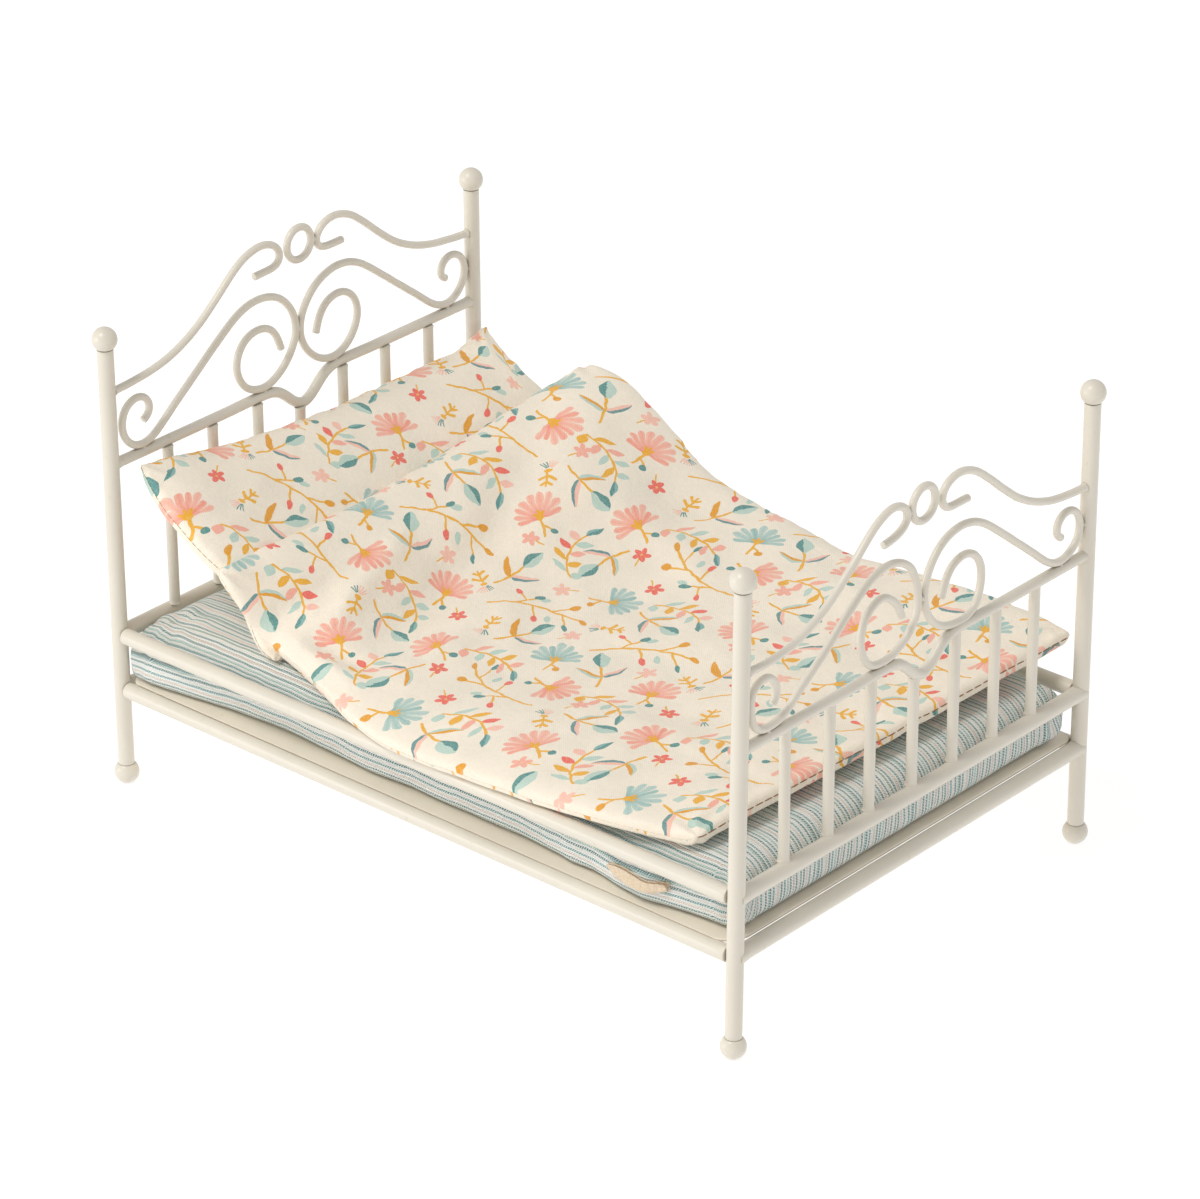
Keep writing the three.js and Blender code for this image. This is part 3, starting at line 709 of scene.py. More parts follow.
rail_y = POST_Y - POST_R - 0.02
for level, z in (("upper", RAIL_UP), ("lower", RAIL_LOW)):
    for side in ("left", "right"):
        xa, xb = post_x("foot", side, z), post_x("head", side, z)
        ys = np.linspace(-rail_y, rail_y, 80)
        line = [(xa + (xb - xa) * (y + rail_y) / (2 * rail_y), y, z) for y in ys]
        beads = []
        for e in (-1, 1):
            xe = xa if e < 0 else xb
            beads.append(bead((xe, e * (rail_y + 0.25), z - 2.3), (1.5, 0.9, 0.9), seed=int(z) + e))
        metal(f"side_rail_{level}_{side}", join(tube(line, POST_R, 36, bevel=0.22), *beads), RAILS)

DIP = [(0, -9.7), (2.5, -9.0), (4.5, -7.8), (6, -6.6), (8, -4.8), (10, -3.1), (12, -1.7), (14, -0.8), (17, 0)]
DIP_X = {"head": 2.2, "foot": 2.8}
SPINDLES = {"head": [-68.3, -45.7, -22.5, -0.7, 22.1, 44.9, 68.5], "foot": [-68.1, -44.9, -23.1, 0.1, 22.5, 45.1, 67.1]}


def dip(end, x):
    d = abs(x - DIP_X[end])
    return float(np.interp(d, [p[0] for p in DIP], [p[1] for p in DIP]))


def cope(mesh, xa, xb, y):
    """The ends follow the round of the posts they are welded to."""
    V, F = mesh
    V = np.array(V, float)
    back = POST_R - np.sqrt(POST_R ** 2 - np.clip(np.abs(V[:, 1] - y), 0, POST_R) ** 2)
    for e, s in ((xa, 1), (xb, -1)):
        m = np.abs(V[:, 0] - e) < 0.28
        V[m, 0] -= s * back[m]
    return V, F


for end, sy in (("head", 1), ("foot", -1)):
    y, top = sy * POST_Y, TOP[end]
    for bar, z, r in (("bottom", RAIL_LOW, POST_R), ("spindle", RAIL_UP, POST_R)):
        xa, xb = post_x(end, "left", z) + 2.75, post_x(end, "right", z) - 2.75
        line = [(x, y, z) for x in np.linspace(xa, xb, 70)]
        rr = [r + 0.32 * math.exp(-((min(x - xa, xb - x)) / 0.7) ** 2) for x, _, _ in line]
        metal(f"{end}_crossbar_{bar}", cope(tube(line, np.array(rr), 36, bevel=0.1), xa, xb, y))
    # top crossbar with its dip
    xa, xb = post_x(end, "left", top) + 2.8, post_x(end, "right", top) - 2.8
    cx = DIP_X[end]
    pts = [(xa, 0), (xa + 4, 0), (-60, 0), (-40, 0)] + [(cx - d, h) for d, h in DIP[::-1]] + [(cx + d, h) for d, h in DIP[1:]] + [(40, 0), (60, 0), (xb - 4, 0), (xb, 0)]
    line = resample([(x, y, top + h) for x, h in pts], 0.9)
    rr = [2.0 + 0.35 * math.exp(-(min(p[0] - xa, xb - p[0]) / 0.8) ** 2) for p in line]
    metal(f"{end}_crossbar_top", cope(tube(line, np.array(rr), 28, bevel=0.1), xa, xb, y))
    for i, x in enumerate(SPINDLES[end]):
        ys = y - sy * 1.3
        z0, z1 = RAIL_UP + 2.55, top + dip(end, x) - 1.35
        zs = np.r_[np.linspace(z0, z0 + 2.4, 8), np.linspace(z0 + 3, z1 - 3, 30), np.linspace(z1 - 2.4, z1, 8)]
        rr = 2.0 + 0.42 * np.exp(-((zs - z0) / 0.75) ** 2) + 0.18 * np.exp(-((z1 - zs) / 0.6) ** 2)
        metal(f"{end}_spindle_{i + 1}", tube([(x, ys, z) for z in zs], rr, 26, bevel=0.1))

WIRES = {
    "foot_arch_left": [(-87.0, 142.8), (-85.0, 142.7), (-83.0, 142.6), (-81.1, 142.5), (-79.1, 142.5), (-77.1, 142.6), (-75.1, 142.7), (-73.1, 142.9), (-71.2, 143.1), (-69.2, 143.4), (-67.3, 143.8), (-65.3, 144.2), (-63.4, 144.8), (-61.6, 145.4), (-59.7, 146.1), (-57.9, 146.9), (-56.1, 147.7), (-54.3, 148.5), (-52.5, 149.4), (-50.7, 150.3), (-49.0, 151.3), (-47.3, 152.4), (-45.7, 153.5), (-44.1, 154.7), (-42.5, 155.8), (-40.9, 157.1), (-39.4, 158.3), (-37.8, 159.5), (-36.3, 160.7), (-34.7, 162.0), (-33.3, 163.3), (-31.8, 164.7), (-30.3, 166.0), (-28.8, 167.3), (-27.3, 168.6), (-25.7, 169.8), (-24.1, 170.9), (-22.4, 171.9), (-20.6, 172.7), (-18.8, 173.5), (-16.8, 174.0), (-14.9, 174.2), (-12.9, 173.9), (-11.0, 173.3), (-9.3, 172.3), (-8.0, 170.8), (-7.3, 169.0), (-7.6, 167.0), (-8.7, 165.4), (-10.4, 164.4), (-12.2, 163.5), (-14.1, 163.0), (-16.1, 162.6), (-18.0, 162.4), (-20.0, 162.2)],
    "foot_arch_right": [(91.9, 142.1), (89.9, 142.2), (87.9, 142.3), (85.9, 142.4), (83.9, 142.6), (81.9, 142.8), (80.0, 143.0), (78.0, 143.3), (76.0, 143.6), (74.0, 143.9), (72.1, 144.4), (70.2, 144.9), (68.3, 145.5), (66.4, 146.1), (64.5, 146.8), (62.7, 147.6), (60.9, 148.4), (59.1, 149.3), (57.3, 150.3), (55.6, 151.3), (53.9, 152.3), (52.3, 153.4), (50.7, 154.6), (49.1, 155.9), (47.5, 157.1), (46.0, 158.4), (44.4, 159.6), (42.9, 160.9), (41.4, 162.2), (39.9, 163.5), (38.4, 164.8), (36.8, 166.0), (35.3, 167.3), (33.7, 168.5), (32.1, 169.7), (30.5, 170.8), (28.7, 171.8), (26.9, 172.6), (25.0, 173.3), (23.1, 173.8), (21.1, 174.1), (19.1, 174.0), (17.2, 173.7), (15.3, 173.0), (13.6, 172.0), (12.2, 170.5), (11.5, 168.7), (11.4, 166.7), (12.3, 165.0), (13.9, 163.8), (15.8, 163.2), (17.8, 163.1), (19.8, 163.1), (21.7, 163.0), (23.7, 163.0), (25.7, 162.9)],
    "foot_scroll_left": [(-9.0, 131.5), (-9.7, 133.3), (-10.5, 135.2), (-11.6, 136.9), (-12.8, 138.4), (-14.3, 139.7), (-15.9, 140.9), (-17.6, 142.0), (-19.5, 142.7), (-21.4, 142.8), (-23.4, 142.3), (-25.2, 141.5), (-26.8, 140.4), (-28.2, 139.0), (-29.3, 137.3), (-30.1, 135.5), (-30.7, 133.6), (-31.0, 131.6), (-30.9, 129.6), (-30.5, 127.7), (-29.9, 125.8), (-29.1, 123.9), (-28.1, 122.2), (-26.7, 120.8), (-25.1, 119.7), (-23.2, 119.0), (-21.3, 118.7), (-19.3, 118.6), (-17.3, 118.6), (-15.3, 118.8), (-13.4, 119.3), (-11.5, 120.0), (-9.7, 120.9), (-8.0, 121.8), (-6.3, 122.9), (-4.8, 124.2), (-3.5, 125.7), (-2.4, 127.4), (-1.4, 129.1), (-0.9, 131.0), (-0.6, 133.0), (-0.5, 135.0), (-0.7, 137.0), (-1.0, 138.9), (-1.4, 140.9), (-2.0, 142.8), (-2.8, 144.6), (-3.6, 146.4), (-4.7, 148.1), (-6.1, 149.5), (-7.7, 150.7), (-9.4, 151.7), (-11.2, 152.6), (-13.1, 153.2), (-15.0, 153.6), (-17.0, 153.8), (-19.0, 153.7), (-21.0, 153.5), (-22.9, 153.0), (-24.8, 152.4), (-26.6, 151.6), (-28.4, 150.8), (-30.1, 149.8), (-31.8, 148.6), (-33.4, 147.5), (-35.0, 146.3), (-36.6, 145.1), (-38.2, 143.9), (-39.8, 142.7), (-41.3, 141.4), (-42.9, 140.2), (-44.4, 138.9), (-46.0, 137.7), (-47.5, 136.4), (-49.1, 135.2), (-50.7, 134.0), (-52.3, 132.8), (-54.0, 131.7), (-55.6, 130.6), (-57.2, 129.4), (-58.9, 128.3), (-60.5, 127.2), (-62.1, 126.0), (-63.8, 124.9), (-65.4, 123.7), (-66.9, 122.5), (-68.5, 121.3), (-70.3, 120.3), (-72.1, 119.6), (-74.0, 119.0), (-76.0, 118.7), (-78.0, 118.6), (-80.0, 118.6), (-81.9, 119.0), (-83.7, 119.8), (-85.3, 121.1), (-86.4, 122.7), (-87.0, 124.6), (-87.4, 126.6), (-87.5, 128.6), (-87.5, 130.6), (-87.3, 132.5), (-86.5, 134.4), (-85.2, 135.8), (-83.5, 136.8), (-81.5, 137.2), (-79.5, 137.1), (-77.7, 136.3), (-76.3, 134.9), (-75.3, 133.3), (-74.6, 131.4), (-74.6, 129.4), (-75.2, 127.5), (-76.5, 126.0)],
    "foot_scroll_right": [(12.2, 130.3), (12.9, 132.2), (13.7, 134.1), (14.5, 135.9), (15.5, 137.6), (16.8, 139.2), (18.4, 140.4), (20.2, 141.3), (22.1, 141.8), (24.1, 142.0), (26.1, 141.7), (28.0, 141.1), (29.7, 140.1), (31.2, 138.8), (32.4, 137.2), (33.4, 135.4), (34.0, 133.5), (34.3, 131.5), (34.3, 129.5), (34.1, 127.5), (33.7, 125.5), (33.1, 123.6), (32.2, 121.8), (31.0, 120.2), (29.4, 119.0), (27.7, 118.1), (25.7, 117.5), (23.7, 117.4), (21.7, 117.4), (19.7, 117.7), (17.7, 118.0), (15.8, 118.5), (13.9, 119.1), (12.1, 120.0), (10.4, 121.0), (8.8, 122.3), (7.4, 123.7), (6.1, 125.3), (5.1, 127.0), (4.2, 128.8), (3.5, 130.7), (3.1, 132.7), (3.0, 134.7), (3.1, 136.7), (3.4, 138.6), (3.9, 140.6), (4.6, 142.4), (5.6, 144.2), (6.7, 145.9), (7.9, 147.4), (9.4, 148.9), (10.9, 150.1), (12.6, 151.2), (14.4, 152.1), (16.3, 152.8), (18.3, 153.2), (20.2, 153.5), (22.2, 153.7), (24.2, 153.5), (26.2, 153.3), (28.2, 152.8), (30.1, 152.2), (32.0, 151.4), (33.7, 150.5), (35.5, 149.5), (37.1, 148.4), (38.8, 147.2), (40.4, 146.0), (42.0, 144.8), (43.6, 143.5), (45.1, 142.3), (46.7, 141.1), (48.3, 139.8), (49.9, 138.6), (51.4, 137.3), (53.0, 136.0), (54.6, 134.8), (56.1, 133.6), (57.7, 132.3), (59.3, 131.1), (60.8, 129.8), (62.4, 128.5), (64.0, 127.3), (65.5, 126.0), (67.0, 124.7), (68.6, 123.4), (70.2, 122.2), (71.8, 121.0), (73.5, 120.0), (75.4, 119.2), (77.3, 118.6), (79.3, 118.4), (81.3, 118.6), (83.2, 119.1), (85.0, 119.9), (86.7, 121.1), (88.1, 122.4), (89.2, 124.1), (89.9, 126.0), (90.1, 128.0), (89.9, 130.0), (89.3, 131.9), (88.2, 133.6), (86.8, 135.0), (85.0, 135.9), (83.0, 136.3), (81.0, 136.2), (79.2, 135.4), (77.7, 134.0), (76.9, 132.2), (76.9, 130.2), (77.9, 128.5), (79.5, 127.4)],
    "head_arch_left": [(-91.9, 156.0), (-90.0, 156.1), (-88.0, 156.2), (-86.0, 156.3), (-84.0, 156.4), (-82.0, 156.6), (-80.0, 156.8), (-78.1, 157.0), (-76.1, 157.2), (-74.1, 157.5), (-72.2, 157.8), (-70.2, 158.2), (-68.3, 158.6), (-66.3, 159.1), (-64.4, 159.7), (-62.5, 160.3), (-60.7, 161.0), (-58.9, 161.8), (-57.0, 162.6), (-55.3, 163.5), (-53.5, 164.4), (-51.8, 165.4), (-50.1, 166.5), (-48.4, 167.5), (-46.8, 168.7), (-45.2, 169.9), (-43.6, 171.1), (-42.1, 172.3), (-40.5, 173.6), (-39.0, 174.8), (-37.5, 176.1), (-35.9, 177.4), (-34.4, 178.7), (-32.9, 179.9), (-31.3, 181.2), (-29.7, 182.3), (-28.1, 183.4), (-26.3, 184.4), (-24.5, 185.2), (-22.6, 185.8), (-20.7, 186.3), (-18.7, 186.7), (-16.7, 186.8), (-14.8, 186.6), (-12.8, 186.1), (-11.0, 185.3), (-9.4, 184.2), (-8.1, 182.6), (-7.4, 180.8), (-7.6, 178.8), (-8.9, 177.3), (-10.7, 176.6), (-12.7, 176.3), (-14.7, 176.2), (-16.7, 176.1), (-18.7, 176.1), (-20.7, 176.0)],
    "head_arch_right": [(92.0, 156.2), (90.0, 156.3), (88.0, 156.5), (86.0, 156.6), (84.1, 156.8), (82.1, 157.0), (80.1, 157.3), (78.1, 157.5), (76.2, 157.7), (74.2, 158.0), (72.3, 158.4), (70.3, 158.8), (68.4, 159.3), (66.5, 159.8), (64.6, 160.4), (62.7, 161.1), (60.9, 161.8), (59.1, 162.6), (57.3, 163.5), (55.5, 164.4), (53.8, 165.4), (52.1, 166.5), (50.5, 167.6), (48.9, 168.8), (47.4, 170.0), (45.8, 171.3), (44.3, 172.5), (42.8, 173.8), (41.3, 175.1), (39.8, 176.4), (38.3, 177.7), (36.8, 179.0), (35.2, 180.2), (33.7, 181.4), (32.1, 182.6), (30.4, 183.7), (28.6, 184.6), (26.8, 185.3), (24.9, 185.9), (23.0, 186.3), (21.0, 186.4), (19.0, 186.2), (17.1, 185.7), (15.3, 184.9), (13.7, 183.7), (12.5, 182.2), (11.8, 180.3), (12.1, 178.4), (13.4, 176.9), (15.3, 176.2), (17.2, 175.9), (19.2, 175.8), (21.2, 175.8), (23.2, 175.8), (25.2, 175.8)],
    "head_scroll_left": [(-8.1, 143.4), (-8.8, 145.3), (-9.5, 147.2), (-10.3, 149.0), (-11.4, 150.7), (-12.7, 152.2), (-14.3, 153.3), (-16.1, 154.2), (-18.1, 154.6), (-20.0, 154.7), (-22.0, 154.5), (-23.9, 154.0), (-25.7, 153.2), (-27.3, 152.0), (-28.7, 150.5), (-29.8, 148.9), (-30.5, 147.0), (-31.0, 145.1), (-31.0, 143.1), (-30.7, 141.1), (-30.1, 139.2), (-29.2, 137.5), (-28.1, 135.8), (-26.7, 134.4), (-25.1, 133.2), (-23.3, 132.3), (-21.4, 131.7), (-19.5, 131.3), (-17.5, 131.2), (-15.5, 131.4), (-13.6, 132.0), (-11.8, 132.8), (-10.1, 133.8), (-8.4, 134.9), (-6.9, 136.2), (-5.5, 137.6), (-4.2, 139.1), (-3.1, 140.8), (-2.1, 142.5), (-1.2, 144.3), (-0.6, 146.2), (-0.3, 148.1), (-0.3, 150.1), (-0.6, 152.1), (-1.1, 154.0), (-1.8, 155.9), (-2.8, 157.6), (-3.9, 159.3), (-5.2, 160.8), (-6.6, 162.2), (-8.2, 163.4), (-9.9, 164.4), (-11.7, 165.2), (-13.6, 165.8), (-15.6, 166.2), (-17.6, 166.5), (-19.5, 166.5), (-21.5, 166.4), (-23.5, 166.1), (-25.4, 165.7), (-27.3, 165.0), (-29.2, 164.3), (-30.9, 163.4), (-32.7, 162.4), (-34.4, 161.3), (-36.0, 160.2), (-37.7, 159.1), (-39.3, 157.9), (-40.9, 156.8), (-42.5, 155.6), (-44.1, 154.5), (-45.7, 153.3), (-47.3, 152.1), (-48.9, 150.9), (-50.5, 149.7), (-52.1, 148.5), (-53.7, 147.3), (-55.3, 146.1), (-56.9, 144.9), (-58.5, 143.8), (-60.1, 142.6), (-61.7, 141.4), (-63.3, 140.2), (-64.9, 138.9), (-66.4, 137.7), (-68.0, 136.5), (-69.6, 135.3), (-71.2, 134.1), (-72.9, 133.0), (-74.6, 132.1), (-76.5, 131.4), (-78.4, 131.0), (-80.4, 131.1), (-82.3, 131.5), (-84.1, 132.4), (-85.7, 133.7), (-86.9, 135.2), (-87.9, 136.9), (-88.5, 138.8), (-88.7, 140.8), (-88.6, 142.8), (-88.1, 144.7), (-87.2, 146.5), (-85.8, 147.9), (-84.1, 149.0), (-82.2, 149.5), (-80.2, 149.6), (-78.3, 149.0), (-76.7, 147.8), (-75.6, 146.2), (-75.2, 144.2), (-75.6, 142.3), (-76.9, 140.8), (-78.6, 139.8)],
    "head_scroll_right": [(10.0, 143.4), (10.6, 145.3), (11.2, 147.2), (12.0, 149.0), (13.0, 150.7), (14.3, 152.3), (15.8, 153.6), (17.6, 154.5), (19.5, 155.1), (21.5, 155.4), (23.5, 155.3), (25.4, 154.8), (27.2, 153.9), (28.8, 152.7), (30.1, 151.2), (31.1, 149.5), (31.8, 147.6), (32.1, 145.6), (32.0, 143.6), (31.6, 141.6), (30.9, 139.8), (29.9, 138.0), (28.8, 136.4), (27.4, 134.9), (25.9, 133.6), (24.2, 132.6), (22.3, 131.7), (20.4, 131.2), (18.4, 131.1), (16.4, 131.2), (14.5, 131.7), (12.6, 132.4), (10.8, 133.3), (9.2, 134.5), (7.6, 135.8), (6.2, 137.2), (5.0, 138.8), (3.9, 140.4), (3.1, 142.2), (2.4, 144.1), (2.0, 146.1), (2.0, 148.1), (2.2, 150.1), (2.6, 152.0), (3.4, 153.9), (4.3, 155.7), (5.4, 157.3), (6.7, 158.9), (8.0, 160.4), (9.5, 161.7), (11.1, 162.9), (12.9, 163.9), (14.7, 164.8), (16.6, 165.4), (18.5, 165.9), (20.5, 166.3), (22.5, 166.4), (24.5, 166.3), (26.5, 166.1), (28.4, 165.7), (30.3, 165.1), (32.2, 164.3), (34.0, 163.4), (35.7, 162.4), (37.3, 161.3), (39.0, 160.1), (40.6, 158.9), (42.2, 157.7), (43.7, 156.5), (45.3, 155.2), (46.9, 154.0), (48.5, 152.8), (50.1, 151.5), (51.6, 150.3), (53.2, 149.0), (54.8, 147.8), (56.4, 146.6), (57.9, 145.4), (59.5, 144.1), (61.1, 142.9), (62.7, 141.7), (64.3, 140.4), (65.8, 139.2), (67.4, 137.9), (68.9, 136.7), (70.5, 135.4), (72.2, 134.3), (73.9, 133.2), (75.7, 132.4), (77.6, 131.8), (79.6, 131.5), (81.5, 131.6), (83.5, 132.2), (85.2, 133.1), (86.8, 134.4), (88.1, 135.9), (89.2, 137.5), (90.0, 139.4), (90.4, 141.4), (90.4, 143.4), (89.9, 145.3), (89.0, 147.1), (87.7, 148.6), (86.0, 149.6), (84.1, 150.2), (82.1, 150.2), (80.2, 149.5), (78.7, 148.3), (77.7, 146.6), (77.5, 144.6), (78.3, 142.8), (80.1, 141.9)],
}

RINGS = {"head": (2.75, 181.5), "foot": (1.4, 169.85)}
WIRE_R = 1.42


def contacts(P, Q, reach):
    """Places where line P comes closest to line Q, nearer than reach."""
    d = np.linalg.norm(P[:, None] - Q[None], axis=2)
    j = d.argmin(1)
    m = d.min(1)
    out = []
    for i in np.argsort(m):
        if m[i] > reach:
            break
        mid = (P[i] + Q[j[i]]) / 2
        if all(np.linalg.norm(mid - o) > 5 for o in out):
            out.append(mid)
    return out


for end, sy in (("head", 1), ("foot", -1)):
    y = sy * POST_Y
    lines = {}
    for kind in ("arch", "scroll"):
        for side in ("left", "right"):
            P = np.array(WIRES[f"{end}_{kind}_{side}"], float)
            # even out the line before the bar is swept along it
            for _ in range(2):
                Q = P.copy()
                Q[1:-1] = (P[:-2] + 2 * P[1:-1] + P[2:]) / 4
                R = Q.copy()
                R[1:-1] = Q[1:-1] * 1.5 - (Q[:-2] + Q[2:]) / 4
                P = R
            line = resample([(a, y, b) for a, b in P], 0.7)
            if kind == "arch":
                line[0][0] = post_x(end, side, line[0][2]) + (2.8 if side == "left" else -2.8)
            lines[kind, side] = line
    cx, cz = RINGS[end]
    a = np.linspace(0, 2 * np.pi, 72, endpoint=False)
    ring = np.array([(cx + 6.2 * math.cos(t), y, cz + 6.2 * math.sin(t)) for t in a])
    bar = np.array([(x, y, TOP[end] + dip(end, x)) for x in np.linspace(-90, 90, 300)])
    for (kind, side), line in lines.items():
        r = np.full(len(line), WIRE_R)
        spots = []
        if kind == "arch":
            d = np.r_[0, np.cumsum(np.linalg.norm(np.diff(line, axis=0), axis=1))]
            r = WIRE_R + 0.34 * np.exp(-(d / 0.8) ** 2)
            spots += contacts(line, ring, 2 * WIRE_R + 0.9)[:1]
        else:
            spots += contacts(line, bar, WIRE_R + 2.0 + 0.7)[:2]
            post = np.array([(post_x(end, side, z), y, z) for z in np.linspace(TOP[end], FINIAL_Z, 90)])
            spots += contacts(line, post, WIRE_R + POST_R + 0.8)[:1]
            if side == "left":
                spots += contacts(line, lines["scroll", "right"], 2 * WIRE_R + 0.8)[:2]
        beads = [bead(c, (1.15, 1.25, 1.15), seed=i + len(line)) for i, c in enumerate(spots)]
        metal(f"{end}_{kind}_wire_{side}", join(tube(line, r, 22, bevel=0.35), *beads))
    metal(f"{end}_ring", tube(ring, WIRE_R, 22, closed=True))


# base panel: a folded sheet with rounded corners whose rim lies on the rails
def rounded_plan(inset, n=12):
    x, y = 94.3 - inset, 142.4 - inset
    out = []
    for sx, sy, a0, r in ((1, 1, 0, 5.0), (-1, 1, 90, 7.0), (-1, -1, 180, 10.0), (1, -1, 270, 4.0)):
        r = max(0.4, r - inset * 0.3)
        cx, cy = sx * (x - r), sy * (y - r)
        for i in range(n + 1):
            a = math.radians(a0 + 90 * i / n)
            out.append((cx + r * math.cos(a), cy + r * math.sin(a)))
        # more points along the sides
        nx = {0: (-1, 1), 90: (-1, -1), 180: (1, -1), 270: (1, 1)}[a0]
        a = out[-1]
        rr = {0: 7.0, 90: 10.0, 180: 4.0, 270: 5.0}[a0]
        rr = max(0.4, rr - inset * 0.3)
        b = (nx[0] * (x - rr), a[1]) if a0 in (0, 180) else (a[0], nx[1] * (y - rr))
        for t in (0.25, 0.5, 0.75):
            out.append((a[0] + (b[0] - a[0]) * t, a[1] + (b[1] - a[1]) * t))
    return out


def panel():
    top, t = 42.2, 1.2
    V, F = [], []
    n = None
    prof = [(2.6, top - t), (1.6, top - t), (0.9, top - t), (0.30, top - t + 0.10), (0.06, top - t + 0.40), (0.0, top - 0.35), (0.10, top - 0.10), (0.35, top), (0.9, top), (1.6, top), (2.6, top)]
    for inset, z in prof:
        pl = rounded_plan(inset)
        n = len(pl)
        V += [(x, y, z) for x, y in pl]
    for i in range(len(prof) - 1):
        for k in range(n):
            l = (k + 1) % n
            F.append((i * n + k, i * n + l, (i + 1) * n + l, (i + 1) * n + k))
    for which, flip in ((0, True), (len(prof) - 1, False)):
        z = prof[which][1]
        prev = which * n
        for inset in (12.0, 40.0, 80.0):
            s = len(V)
            V += [(x, y, z) for x, y in rounded_plan(inset)]
            for k in range(n):
                l = (k + 1) % n
                q = (prev + k, prev + l, s + l, s + k)
                F.append(q[::-1] if flip else q)
            prev = s
        ng = tuple(prev + k for k in range(n))
        F.append(ng[::-1] if flip else ng)
    V = np.array(V)
    # the rim is pressed onto the round rails
    d = np.minimum(np.abs(np.abs(V[:, 0]) - POST_X), POST_R)
    lean = post_x("foot", "left", RAIL_LOW) + POST_X
    rail = RAIL_LOW + np.sqrt(POST_R ** 2 - np.minimum(d, POST_R) ** 2) + 0.03
    near = (np.abs(V[:, 0]) > POST_X - POST_R)
    V[:, 2] = np.where(near, np.maximum(V[:, 2], rail), V[:, 2])
    up = near & (V[:, 2] > top - 0.6)
    V[up, 2] = np.maximum(V[up, 2], rail[up] + 0.45)
    return V, F


ob = metal("base_panel", panel(), BRIGHTENED_SHEET)


# ------------------------------------------------------------------ padded bags
def spline_s(xs, Y, x):
    """Smooth values between rows Y at xs (a cubic with averaged slopes)."""
    xs, Y = np.asarray(xs, float), np.asarray(Y, float)
    h = np.diff(xs)
    s = np.diff(Y, axis=0) / h[:, None, None]
    m = np.zeros_like(Y)
    m[1:-1] = (s[:-1] * h[1:, None, None] + s[1:] * h[:-1, None, None]) / (h[1:] + h[:-1])[:, None, None]
    m[0], m[-1] = s[0], s[-1]
    i = np.clip(np.searchsorted(xs, x, side="right") - 1, 0, len(xs) - 2)
    t = ((x - xs[i]) / h[i])[:, None, None]
    H = h[i][:, None, None]
    return ((2 * t ** 3 - 3 * t ** 2 + 1) * Y[i] + (t ** 3 - 2 * t ** 2 + t) * H * m[i]
            + (-2 * t ** 3 + 3 * t ** 2) * Y[i + 1] + (t ** 3 - t ** 2) * H * m[i + 1])


def stations(length, fine=(0, 0.25, 0.6, 1.05, 1.6, 2.3, 3.1, 4.1, 5.3, 6.7, 8.3, 10.0), step=2.2):
    """Places along one side of a pad, closer together by the seams."""
    mid = length - 2 * fine[-1]
    n = max(2, int(round(mid / step)))
    inner = fine[-1] + np.linspace(0, mid, n + 1)[1:-1]
    return np.r_[fine, inner, (length - np.array(fine))[::-1]]


